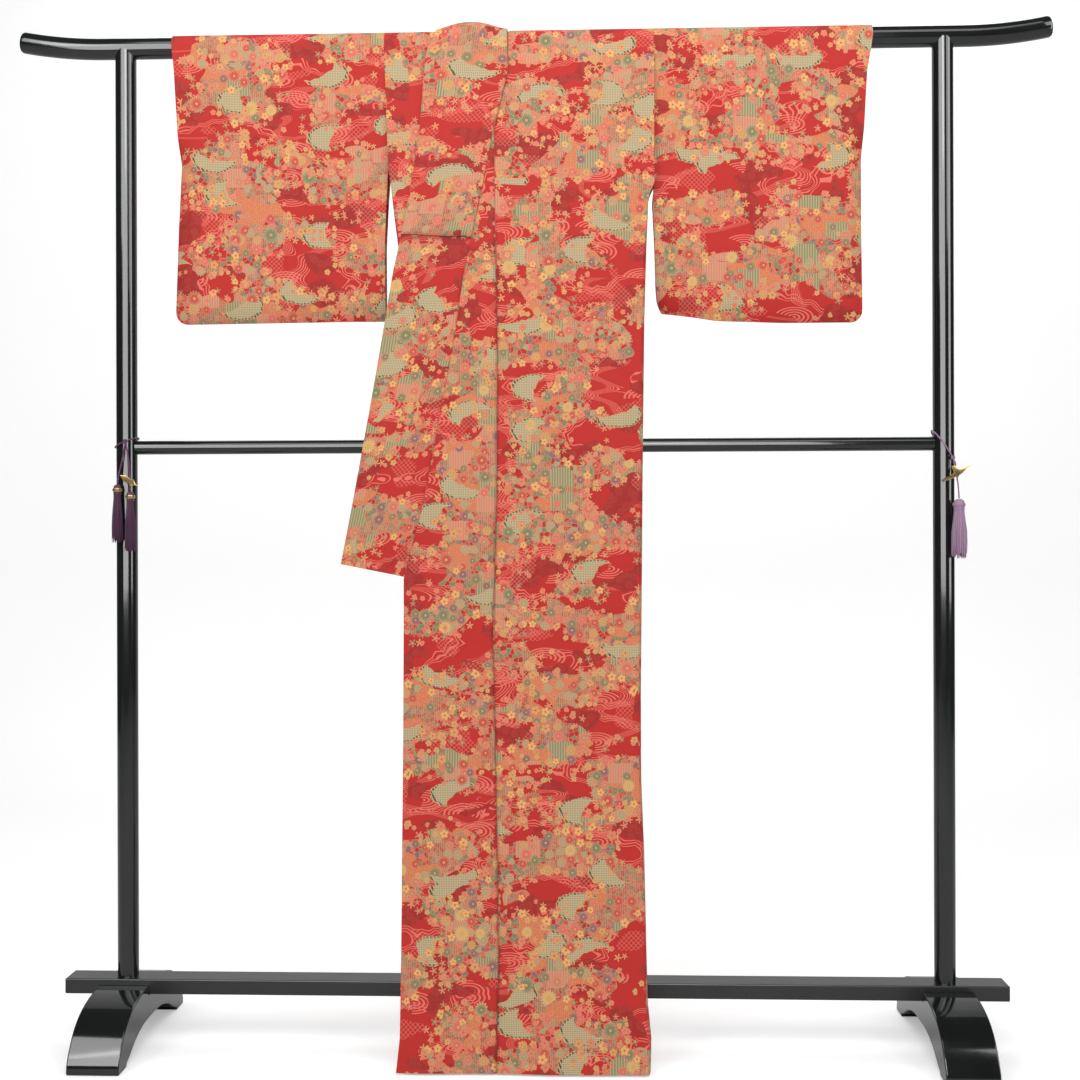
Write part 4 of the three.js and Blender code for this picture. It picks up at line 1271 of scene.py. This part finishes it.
    def okumi_right(self) -> bpy.types.Object:
        """The overlap panel of the right front, folded behind."""
        fall = self.fall
        return self.panel(
            "kimono_okumi_right", self.lengths(fall.hem, None, 1392.0), lambda v: -35.0 + self.gap / 2,
            lambda v: read(self.hidden_seam, fall.height(v)) - self.gap, lambda v, x: 0.0,
            Bolt(40.0, -300.0), width=135.0)

    def hump(self, v: float, x: float) -> float:
        """How far the collar stands off the rail behind the neck."""
        across = clamp((x - self.hump_left) / (self.hump_right - self.hump_left))
        return self.hump_rise * math.sin(math.pi * across) * math.exp(-((v / self.hump_reach) ** 2))

    def collar_band(self, name: str, ends: tuple[float, float], offset: float, inset: float,
                    wall: float, bolt: Bolt) -> bpy.types.Object:
        """A band along the left front's neck edge, from behind the neck to a slanting end.

        Args:
            name: the piece's name.
            ends: height of the end at the outer and at the inner edge.
            offset: distance out of its inner face.
            inset: how far its edges lie in from the collar's.
            wall: its thickness.
            bolt: where it is cut from the printed bolt.

        Returns:
            The band.
        """
        fall = self.fall
        rows = [v for v in self.lengths(ends[1], self.neck_top + 1) if v <= fall.length_to(self.neck_top + 1)]

        def left(v: float) -> float:
            round_neck = smooth((v + 2 * fall.quarter) / (2 * fall.quarter))
            return mix(read(self.collar_edge, fall.height(v)), self.neck_left, round_neck) + inset

        # Painted shadow across the band at the overlay collar's end, and a light painted shadow along its seam.
        return self.panel(
            name, rows, left, lambda v: read(self.collar_seam, fall.height(v)) - inset,
            lambda v, x: offset + self.hump(v, x), bolt, (Edge.FREE, Edge.SEAM), wall, 112.0,
            lambda j, share: (ends[0] - ends[1]) * (1 - share) * max(0.0, 1 - j / 6), follow=True,
            painted_shade=lambda v: 0.34 * math.exp(-((v + fall.length_to(self.overlay_end)) / 6) ** 2), shadow=0.14)

    def collar_right(self) -> bpy.types.Object:
        """The collar of the right front, folded behind."""
        fall = self.fall
        return self.panel(
            "kimono_collar_right", self.lengths(757.0, None, 1558.0),
            lambda v: read(self.hidden_seam, fall.height(v)),
            lambda v: read(self.hidden_seam, fall.height(v)) + self.hidden_collar_width,
            lambda v, x: 0.0, Bolt(500.0, 500.0), width=57.0, follow=True)

    def dress_all(self) -> None:
        """Builds every piece of the garment, gives it the silk and hides the nodes it replaces."""
        whole = self.fall.length_to(self.fall.hem) * 2 * MM
        rail = ["stand_top_rail"]
        cuts = (
            (self.body_left(), ["body_left_front", "body_left_back"], (0.28, whole), rail),
            (self.body_right(), ["body_right_front", "body_right_back"], (0.24, whole), rail),
            (self.okumi_left(), ["okumi_left"], (0.145, 1.44), ["kimono_okumi_right"]),
            (self.okumi_right(), ["okumi_right"], (0.125, 1.39), ["kimono_body_right"]),
            (self.collar_band("kimono_collar_left", (760.0, 740.0), self.pitch, 0.0, self.wall,
                              Bolt(930.0, 60.0)), ["collar_left"], (0.115, 0.93), rail),
            (self.collar_right(), ["collar_right"], (0.057, 0.83), ["kimono_body_right"]),
            (self.collar_band("kimono_overlay_collar", (1280.0, 1274.0), 2 * self.pitch, 0.4,
                              self.overlay_wall, Bolt(1230.0, 415.0)), ["overlay_collar"], (0.115, 0.41),
             ["kimono_collar_left"]),
            (Sleeve.left_one(self.fall, self.wall).build(), ["sleeve_left"], (0.34, 0.95), rail),
            (Sleeve.right_one(self.fall, self.wall).build(), ["sleeve_right"], (0.34, 0.95), rail),
        )
        for piece, nodes, flat, rests in cuts:
            dress(piece, self.silk, "kimono_cloth")
            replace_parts(piece, *nodes)
            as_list(rests)


@dataclass(frozen=True)
class Sleeve:
    """A sleeve: one folded cloth over the rail, sewn at the bottom and below the wrist."""

    name: str
    fall: Fall
    wall: float
    inner: tuple[At, ...]
    outer: tuple[At, ...]
    bottom: tuple[tuple[float, float], ...]
    curl: float
    bolt: Bolt
    creases: tuple[Crease, ...]
    corner: float = 20.0
    pinch: float = 30.0
    closing: float = 40.0
    wrist_end: float = 1394.0
    wrist_reach: float = 56.0
    seam_half: float = 0.15
    low_rows: tuple[float, ...] = (0.0, 1.2, 3, 6, 10, 15, 21, 28, 36, 44)
    high_start: float = 1213.0
    rail_steps: int = 24
    curl_across: float = 90.0
    curl_up: float = 150.0
    depth: tuple[tuple[float, float], ...] = ((1142, 8), (1300, 11), (1450, 14), (1588, 16.8))

    @classmethod
    def left_one(cls, fall: Fall, wall: float) -> "Sleeve":
        """The sleeve at the left of the front view."""
        return cls(
            "kimono_sleeve_left", fall, wall,
            (At(1142, -231), At(1266, -231), At(1330, -228), At(1394, -224), At(1588, -230.5)),
            (At(1142, -570), At(1302, -564), At(1399, -559), At(1425, -561), At(1545, -567), At(1588, -571)),
            ((0, 1147), (1, 1144)), 5.0, Bolt(1500.0, 330.0),
            (Crease(-300, 1380, 130, 18, 1.6, 0.12), Crease(-430, 1290, 110, 30, 2.0, -0.3),
             Crease(-510, 1430, 90, 16, -1.6, 0.2), Crease(-360, 1200, 60, 34, 1.8, 0.4),
             Crease(-545, 1260, 80, 10, 1.2, 0.0)))

    @classmethod
    def right_one(cls, fall: Fall, wall: float) -> "Sleeve":
        """The sleeve at the right of the front view."""
        return cls(
            "kimono_sleeve_right", fall, wall,
            (At(1158, 209), At(1166, 204.5), At(1178, 201), At(1198, 199.2), At(1266, 197), At(1332, 193.6),
             At(1355, 196), At(1588, 196)),
            (At(1139, 524), At(1296, 522), At(1394, 522), At(1529, 529), At(1565, 535), At(1588, 538)),
            ((0, 1158), (0.27, 1143), (0.6, 1139), (1, 1139)), 20.0, Bolt(1890.0, -45.0),
            (Crease(245, 1230, 90, 14, -2.6, -0.5), Crease(300, 1360, 150, 26, 1.8, -0.15),
             Crease(400, 1250, 120, 30, 2.0, 0.25), Crease(490, 1400, 90, 14, -1.6, -0.1),
             Crease(350, 1480, 80, 34, 1.4, 0.3)))

    def across(self) -> list[float]:
        """Shares of the width at which the sleeve has its columns."""
        width = abs(self.outer[-1].x - self.inner[-1].x)
        body = steps(0.0, 1 - 36.0 / width, 9.0 / width)
        rim = [1 - d / width for d in (32, 28, 24, 20, 16, 12.5, 9.5, 7, 5, 3.2, 1.8, 0.8, 0)]
        return [0.0, 0.8 / width, 2.5 / width] + body[1:] + rim

    def lowest(self, share: float, width: float) -> float:
        """Height of the bottom edge, with its rounded outer corner."""
        from_edge = min((1 - share) * width, self.corner)
        rise = self.corner - math.sqrt(self.corner ** 2 - (self.corner - from_edge) ** 2)
        return read(self.bottom, share) + rise

    def build(self) -> bpy.types.Object:
        """Builds the sleeve."""
        fall = self.fall
        half = [*self.low_rows, *steps(self.high_start, fall.rail_height, 8.0)]
        rows = 2 * (len(half) - 1) + self.rail_steps
        shares = self.across()
        width = abs(self.outer[-1].x - self.inner[-1].x)

        def place(i: int, j: int, side: int) -> WallPoint:
            share = shares[i]
            if len(half) <= j <= rows - len(half):
                angle = mix(-math.pi / 2, math.pi / 2, (j - len(half) + 1) / self.rail_steps)
                reach = fall.radius + side * self.wall
                x = mix(self.inner[-1].x, self.outer[-1].x, share)
                point = (x, reach * math.sin(angle), fall.rail_height + reach * math.cos(angle))
                return WallPoint(point, (x + self.bolt.across, angle * fall.radius + self.bolt.along))
            face = -1 if j < len(half) else 1
            row = j if face < 0 else rows - j
            low = self.lowest(share, width)
            z = low + half[row] if row < len(self.low_rows) else half[row]
            x = mix(read(self.inner, z), read(self.outer, z), share)
            shut = clamp((z - low) / self.closing)
            from_edge = clamp((1 - share) * width / self.pinch)
            mouth = smooth((z - self.wrist_end) / self.wrist_reach)
            pinched = mix(1 - (1 - from_edge) ** 2, 1.0, mouth)
            opened = (1 - (1 - shut) ** 2) * pinched
            depth = mix(self.seam_half, read(self.depth, z), opened)
            lift = sum(crease.lift(x, z) for crease in self.creases) * smooth((fall.rail_height - z) / 90)
            edge = math.exp(-((1 - share) * width / 2.2) ** 2) * (1 - mouth) + math.exp(-((z - low) / 2.2) ** 2)
            curl = self.curl * (1 - clamp(share * width / self.curl_across)) ** 2 * (
                1 - clamp((z - low) / self.curl_up)) ** 2
            reach = depth + side * (self.wall - 0.7 * min(edge, 1.0)) + max(lift, -depth * 0.3) * opened
            point = (x, face * reach + curl, z)
            v = face * fall.length_to(z)
            return WallPoint(point, (x + self.bolt.across, v + self.bolt.along))

        return closed_wall(self.name, len(shares) - 1, rows, place)


# ------------------------------------------------------------------ stand


@dataclass
class Stand:
    """The lacquered kimono stand: three rails, two posts and two arched feet."""

    fall: Fall
    half_length: float = 817.0
    tip_rise: float = 13.0
    tip_reach: float = 135.0
    post_radius: float = 16.5
    post_x: float = 650.0
    middle_radius: float = 11.0
    middle_height: float = 947.0
    base_length: float = 1490.0
    base_depth: float = 45.0
    base_height: float = 24.0
    base_bottom: float = 76.0
    foot_width: float = 80.0
    foot_top: tuple[tuple[float, float], ...] = (
        (22.8, 90), (60, 87), (100, 77), (130, 60), (150, 38), (162, 18), (165, 4),
    )
    foot_under: tuple[tuple[float, float], ...] = (
        (163, 0), (128, 0), (126, 6), (116, 9), (85, 25), (45, 36), (0, 38),
    )

    def top_rail(self) -> bpy.types.Object:
        """The top rail, its tips curving up."""
        half = [0.0, self.half_length - self.tip_reach]
        half += steps(half[-1], self.half_length - 4, 12.0)[1:]
        ends = [(self.half_length - 2, 0.97), (self.half_length - 0.6, 0.92), (self.half_length, 0.84)]
        right = [(x, 1.0) for x in half] + ends
        both = [(-x, share) for x, share in reversed(right[1:])] + right
        radius = self.fall.rail_radius
        path = []
        for x, _ in both:
            along = clamp((abs(x) - self.half_length + self.tip_reach) / self.tip_reach)
            path.append((x, 0.0, self.fall.rail_height + self.tip_rise * along * along))
        return tube("stand_top_rail", path, [radius * share for _, share in both], 64)

    def post(self, side: str, x: float) -> bpy.types.Object:
        """One upright post, from the base rail into the top rail's underside."""
        low = self.base_bottom + self.base_height
        high = self.fall.rail_height - 4.0
        profile = [(0, low), (self.post_radius, low)]
        profile += [(self.post_radius, z) for z in steps(low + 2, high - 2, 60.0)]
        profile += [(self.post_radius, high), (0, high)]
        return lathe(f"stand_post_{side}", profile, (x, 0, 0), 64)

    def middle_rail(self) -> bpy.types.Object:
        """The thinner rail between the posts."""
        reach = self.post_x - self.post_radius + 1.0
        path = [(x, 0.0, self.middle_height) for x in steps(-reach, reach, 80.0)]
        return tube("stand_middle_rail", path, [self.middle_radius] * len(path), 48)

    def rounded_box(self, name: str, low: Point, high: Point, soft: float) -> bpy.types.Object:
        """A box whose edges are rounded."""
        corners = [(x, y, z) for x in (low[0], high[0]) for y in (low[1], high[1]) for z in (low[2], high[2])]
        faces = [(0, 1, 3, 2), (4, 6, 7, 5), (0, 4, 5, 1), (2, 3, 7, 6), (0, 2, 6, 4), (1, 5, 7, 3)]
        made = make_object(name, corners, faces)
        face_outwards(made)
        self.soften(made, soft)
        return made

    def soften(self, made: bpy.types.Object, soft: float) -> None:
        """Rounds a piece's sharp edges."""
        bevel = made.modifiers.new("rounding", "BEVEL")
        bevel.width = soft * MM
        bevel.segments = 4
        bevel.limit_method = "ANGLE"
        bevel.angle_limit = math.radians(50)
        bevel.harden_normals = True

    def base_rail(self) -> bpy.types.Object:
        """The flat rail at the bottom, let into the feet."""
        half, depth = self.base_length / 2, self.base_depth / 2
        return self.rounded_box("stand_base_rail", (-half, -depth, self.base_bottom),
                                (half, depth, self.base_bottom + self.base_height), 2.0)

    def foot(self, side: str, x: float) -> bpy.types.Object:
        """One arched foot, notched for the base rail."""
        def curve(rows: Sequence[tuple[float, float]]) -> list[tuple[float, float]]:
            return [(y, z) for y, z, _ in soft_path([(y, z, 0.0) for y, z in rows], 5)]

        notch = self.base_bottom - 0.3
        half = [(self.foot_top[0][0], notch)] + curve(self.foot_top)
        half += list(self.foot_under[:3]) + curve(self.foot_under[3:])
        outline = half + [(-y, z) for y, z in reversed(half[:-1])]
        count = len(outline)
        sides = [x - self.foot_width / 2, x + self.foot_width / 2]
        points = [(place, y, z) for place in sides for y, z in outline]
        faces: list[tuple[int, ...]] = [tuple(range(count)), tuple(reversed(range(count, 2 * count)))]
        for k in range(count):
            following = (k + 1) % count
            faces.append((k, k + count, following + count, following))
        made = make_object(f"stand_foot_{side}", points, faces)
        face_outwards(made)
        self.soften(made, 2.2)
        return made

    def dress_all(self) -> None:
        """Builds the stand's pieces and lacquers them."""
        mirror, satin = Lacquer(Polish.MIRROR).build(), Lacquer(Polish.SATIN).build()
        pieces = [
            (self.top_rail(), "top_rail", mirror), (self.middle_rail(), "middle_rail", mirror),
            (self.base_rail(), "base_rail", satin),
        ]
        for side, x in (("left", -self.post_x), ("right", self.post_x)):
            pieces.append((self.post(side, x), f"post_{side}", mirror))
            pieces.append((self.foot(side, x), f"foot_{side}", mirror))
        for piece, node, finish in pieces:
            dress(piece, finish, "lacquer")
            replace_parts(piece, node)


# ------------------------------------------------------------------ ties, tassels and charms


class TasselSize(NamedTuple):
    """Where a tassel hangs, how large it is and whether its band is gilt."""

    name: str
    x: float
    y: float
    top: float
    end: float
    radius: float
    slot: str
    gilt: bool = True


@dataclass
class Ties:
    """The cords tied round the posts, with their tassels, neck bands and gilt charms."""

    stand: Stand
    cord_radius: float = 1.2
    head: float = 16.0
    strands: int = 72
    tassels: tuple[TasselSize, ...] = (
        TasselSize("left_outer", -657, -26.5, 890, 794, 9.8, "tassel_purple"),
        TasselSize("left_inner", -636, -26.5, 879, 780, 9.8, "tassel_purple"),
        TasselSize("right", 667, -27, 862, 766, 13.5, "tassel_mauve", False),
    )
    leaf: tuple[tuple[float, float], ...] = (
        (-16.5, 0), (-8, 5), (0, 3.6), (6, 5.6), (10, 2), (16.5, 0), (10, -2), (6, -5.6), (0, -3.6), (-8, -5),
    )
    bird: tuple[tuple[float, float], ...] = (
        (-27, 3), (-12, 2.5), (-4, 3.2), (-3, 14), (2, 13), (5, 3.4), (16, 3), (27, 0.5),
        (16, 0), (6, -3.5), (1, -4), (-7, -9), (-4, -4), (-12, -3), (-27, -0.5),
    )

    def loop(self, x: float, z: float, rise: float) -> bpy.types.Object:
        """A cord once round a post, rising across it."""
        radius = self.stand.post_radius + 0.7 + self.cord_radius
        path = []
        for k in range(49):
            angle = 2 * math.pi * k / 48 + math.pi / 2
            dx = radius * math.cos(angle)
            path.append((x + dx, radius * math.sin(angle), z + rise * dx))
        return tube("loop", path, [self.cord_radius] * len(path), 10)

    def knot(self, centre: Point) -> bpy.types.Object:
        """A small round knot: two crossing turns of the cord."""
        path = []
        for k in range(41):
            angle = 4 * math.pi * k / 40
            path.append((
                centre[0] + 2.3 * math.cos(angle), centre[1] - 1.0 + 1.5 * math.sin(angle),
                centre[2] + 1.8 * math.sin(angle * 1.5),
            ))
        return tube("knot", path, [self.cord_radius] * len(path), 10)

    def cord(self, points: Sequence[Point]) -> bpy.types.Object:
        """A hanging stretch of cord through a few points."""
        path = soft_path(points)
        return tube("cord", path, [self.cord_radius] * len(path), 10)

    def tie_left(self) -> bpy.types.Object:
        """The left post's tie: a loop, a knot and two legs down to its tassels."""
        front = -self.stand.post_radius - 1.9
        parts = [
            self.loop(-self.stand.post_x, 955, 0.42), self.knot((-646, front - 1.2, 956.5)),
            self.cord([(-646, front - 1.5, 956), (-650, front - 2.5, 930), (-655, front - 5, 905),
                       (-657, -26.5, 888)]),
            self.cord([(-646, front - 1.5, 956), (-641, front - 3, 930), (-638, front - 6, 900),
                       (-636, -26.5, 877)]),
        ]
        return join("tie_left_cord", parts)

    def tie_right(self) -> bpy.types.Object:
        """The right post's tie: a slanting loop, a knot and one leg down to its tassel."""
        front = -self.stand.post_radius - 1.9
        parts = [
            self.loop(self.stand.post_x, 940, -1.5), self.knot((660, front + 1.2, 924)),
            self.cord([(660, front, 924), (664, front - 4, 900), (666, front - 7, 880), (667, -27, 860)]),
        ]
        return join("tie_right_cord", parts)

    def tassel(self, size: TasselSize, dice: random.Random) -> bpy.types.Object:
        """A tassel: a wound head and a skirt of silk strands.

        Args:
            size: where it hangs and how large it is.
            dice: the source of the strands' small differences.

        Returns:
            The tassel.
        """
        neck = size.radius * 0.62
        top = size.top - self.cord_radius - 1.5
        profile = [(0.0, -self.head)] + [(neck, -self.head)]
        profile += [(neck * (1 - 0.03 * (k % 2)), -self.head + 1 + k * 0.9) for k in range(10)]
        profile += [(neck * 0.9, -3.0), (neck * 0.5, -0.6), (0.0, 0.0)]
        parts = [lathe("head", profile, (size.x, size.y, top), 32)]
        thick = size.radius * 0.085
        for k in range(self.strands):
            reach = math.sqrt((k + 0.5) / self.strands)
            angle = k * 2.39996
            dx, dy = math.cos(angle) * reach, math.sin(angle) * reach
            end = size.end + dice.uniform(0.0, 9.0)
            path = []
            for t in (0.0, 0.12, 0.28, 0.5, 0.75, 1.0):
                spread = mix(neck - thick, size.radius - thick * 1.6, smooth(t * 1.6))
                sway = dice.uniform(-0.5, 0.5) * t
                path.append((size.x + dx * spread + sway, size.y + dy * spread + sway,
                             mix(top - self.head + 1, end, t)))
            parts.append(tube("strand", path, [thick] * 5 + [thick * 0.5], 5))
        return join(f"tassel_{size.name}_silk", parts)

    def band(self, size: TasselSize) -> bpy.types.Object:
        """The band round a tassel's neck."""
        inner = size.radius * 0.62 + 0.3
        profile = [(inner, -2.5), (inner + 0.7, -2.5), (inner + 1.0, -1.8), (inner + 1.0, 1.8),
                   (inner + 0.7, 2.5), (inner, 2.5), (inner, -2.5)]
        top = size.top - self.cord_radius - 1.5 - 9
        return lathe(f"band_{size.name}", profile, (size.x, size.y, top), 40)

    def charm(self, name: str, outline: Sequence[tuple[float, float]], tilt: float,
              place: Point) -> bpy.types.Object:
        """A small pierced charm, domed a little towards the viewer.

        Args:
            name: the piece's name.
            outline: its outline seen from the front.
            tilt: how far it is turned in its plane.
            place: where its middle is.

        Returns:
            The charm.
        """
        turned = [(x * math.cos(tilt) + z * math.sin(tilt), z * math.cos(tilt) - x * math.sin(tilt))
                  for x, z in outline]
        count = len(turned)
        points: list[Point] = []
        for depth, scale in ((0.0, 1.0), (-0.9, 1.0), (-1.4, 0.82)):
            points += [(place[0] + x * scale, place[1] + depth, place[2] + z * scale) for x, z in turned]
        points.append((place[0], place[1] - 1.4, place[2] + 0.5))
        faces: list[tuple[int, ...]] = [tuple(range(count))]
        for ring in (0, count):
            for k in range(count):
                following = (k + 1) % count
                faces.append((ring + k, ring + following, ring + following + count, ring + k + count))
        for k in range(count):
            faces.append((2 * count + k, 2 * count + (k + 1) % count, 3 * count))
        made = make_object(name, points, faces)
        face_outwards(made)
        mark_creases(made, 25.0)
        return made

    def dress_all(self) -> None:
        """Builds the ties, tassels, bands and charms."""
        dice = random.Random(11)
        cord = SilkThread("tie_cord", linear(84, 44, 84)).build()
        pale_cord = SilkThread("pale_tie_cord", linear(132, 98, 128)).build()
        gilt = Gilt().build()
        silks = {
            "tassel_purple": SilkThread("purple_silk", linear(70, 36, 62), 2400.0).build(),
            "tassel_mauve": SilkThread("mauve_silk", linear(146, 116, 142), 2400.0).build(),
        }
        for piece, node, thread in (
            (self.tie_left(), "tie_left", cord), (self.tie_right(), "tie_right", pale_cord),
        ):
            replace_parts(dress(piece, thread, "tie_cord"), node)
        for size in self.tassels:
            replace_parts(dress(self.tassel(size, dice), silks[size.slot], size.slot), f"tassel_{size.name}")
            finish, slot = (gilt, "gilt") if size.gilt else (silks[size.slot], size.slot)
            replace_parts(dress(self.band(size), finish, slot), f"band_{size.name}")
        leaf = self.charm("charm_left_leaf", self.leaf, 0.55, (-638, -26.9, 893))
        bird = self.charm("charm_right_bird", self.bird, -0.5, (665, -25.9, 899))
        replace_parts(dress(leaf, gilt, "gilt"), "charm_left")
        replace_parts(dress(bird, gilt, "gilt"), "charm_right")


# ------------------------------------------------------------------ studio


class Lamp(NamedTuple):
    """A soft rectangular light: where it hangs and the point it faces, its size and its watts."""

    name: str
    place: Point
    aim: Point
    size: tuple[float, float]
    power: float


@dataclass(frozen=True)
class Studio:
    """The pale room, its soft lights and the camera in front. Lamps are placed in metres."""

    distance: float = 2200.0
    height: float = 797.0
    aim_x: float = 14.0
    yaw: float = 0.0358
    roll: float = -0.00285
    lens: float = 46.13
    room: float = 4.2
    sky: float = 0.44
    mirrored_sky: float = 0.06
    softboxes: tuple[Lamp, ...] = (
        Lamp("left_softbox", (-1.9, -2.2, 2.6), (0.0, 0.0, 1.6), (0.8, 1.6), 25.0),
        Lamp("right_softbox", (2.1, -2.1, 2.6), (0.0, 0.0, 1.6), (0.8, 1.6), 21.0),
        Lamp("front_softbox", (0.1, -3.4, 2.9), (0.0, 0.0, 1.6), (1.0, 1.2), 31.0),
        Lamp("top_softbox", (0.0, -1.5, 3.2), (0.0, 0.2, 1.0), (2.6, 1.0), 26.0),
        Lamp("back_softbox", (0.0, 2.2, 3.2), (0.0, 0.4, 0.4), (3.0, 1.0), 24.0),
    )
    panels: tuple[Lamp, ...] = (
        Lamp("front_panel", (-0.4, -2.7, 1.9), (0.0, 0.0, 1.9), (2.8, 2.6), 190.0),
        Lamp("side_panel", (2.5, -1.2, 1.9), (0.0, 0.0, 1.9), (1.0, 2.6), 60.0),
    )

    def camera(self) -> None:
        """Places the camera level, a little to the right and turned back to the stand."""
        data = bpy.data.cameras.new("front_camera")
        data.lens = self.lens
        data.sensor_width = 36.0
        made = bpy.data.objects.new("front_camera", data)
        bpy.context.scene.collection.objects.link(made)
        x = self.aim_x + self.distance * math.tan(self.yaw)
        made.location = (x * MM, -self.distance * MM, self.height * MM)
        turned = Euler((math.pi / 2, 0.0, self.yaw)).to_matrix() @ Euler((0.0, 0.0, self.roll)).to_matrix()
        made.rotation_euler = turned.to_euler()
        bpy.context.scene.camera = made

    def paper(self) -> None:
        """A floor that curves up into a back wall."""
        half, back, bend, top = self.room, 2.6, 0.7, 4.4
        profile = [(-self.room, 0.0), (back - bend, 0.0)]
        for k in range(1, 13):
            angle = math.pi / 2 * k / 12
            profile.append((back - bend + bend * math.sin(angle), bend - bend * math.cos(angle)))
        profile.append((back, top))
        points = [(x / MM, y / MM, z / MM) for y, z in profile for x in (-half, half)]
        faces = [(2 * k, 2 * k + 1, 2 * k + 3, 2 * k + 2) for k in range(len(profile) - 1)]
        floor = make_object("studio_paper", points, faces)
        floor.data.materials.append(PalePaper().build())

    def hang(self, lamp: Lamp) -> bpy.types.Object:
        """Hangs one soft light."""
        data = bpy.data.lights.new(lamp.name, "AREA")
        data.shape = "RECTANGLE"
        data.size, data.size_y = lamp.size
        data.energy = lamp.power
        made = bpy.data.objects.new(lamp.name, data)
        bpy.context.scene.collection.objects.link(made)
        made.location = lamp.place
        made.rotation_euler = (Vector(lamp.aim) - Vector(lamp.place)).to_track_quat("-Z", "Y").to_euler()
        return made

    def mirror_in(self, pieces: Sequence[bpy.types.Object]) -> None:
        """Hangs the pale panels that light nothing and are only mirrored by some polished pieces."""
        polished = bpy.data.collections.new("polished")
        for piece in pieces:
            polished.objects.link(piece)
        for lamp in self.panels:
            panel = self.hang(lamp)
            panel.visible_diffuse = False
            panel.light_linking.receiver_collection = polished

    def air(self) -> None:
        """White light all round, full where it is seen and dimmer where polished faces mirror it."""
        world = bpy.data.worlds.new("studio_air")
        world.use_nodes = True
        nodes, links = world.node_tree.nodes, world.node_tree.links
        sky = nodes["Background"]
        sky.inputs["Color"].default_value = (1.0, 1.0, 1.0, 1.0)
        ray = nodes.new("ShaderNodeLightPath")
        dim = nodes.new("ShaderNodeMapRange")
        dim.inputs["To Min"].default_value = self.sky
        dim.inputs["To Max"].default_value = self.mirrored_sky
        links.new(ray.outputs["Is Glossy Ray"], dim.inputs["Value"])
        shown = nodes.new("ShaderNodeMath")
        shown.operation = "MAXIMUM"
        links.new(ray.outputs["Is Camera Ray"], shown.inputs[0])
        links.new(dim.outputs["Result"], shown.inputs[1])
        links.new(shown.outputs["Value"], sky.inputs["Strength"])
        bpy.context.scene.world = world

    def build(self) -> None:
        """Sets up the room, the lights and the camera."""
        self.camera()
        self.paper()
        self.air()
        for lamp in self.softboxes:
            self.hang(lamp)
        bpy.context.scene.view_settings.view_transform = "Standard"


# ------------------------------------------------------------------ main


def main() -> None:
    """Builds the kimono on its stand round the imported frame."""
    logging.basicConfig(level=logging.INFO, format="%(message)s")
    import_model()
    studio = Studio()
    studio.build()
    fall = Fall()
    stand = Stand(fall)
    stand.dress_all()
    studio.mirror_in([piece for piece in bpy.context.scene.objects if piece.name.startswith("stand_")])
    Ties(stand).dress_all()
    Kimono(fall, KomonSilk().build()).dress_all()
    bpy.context.view_layer.update()


if __name__ == "__main__":
    main()
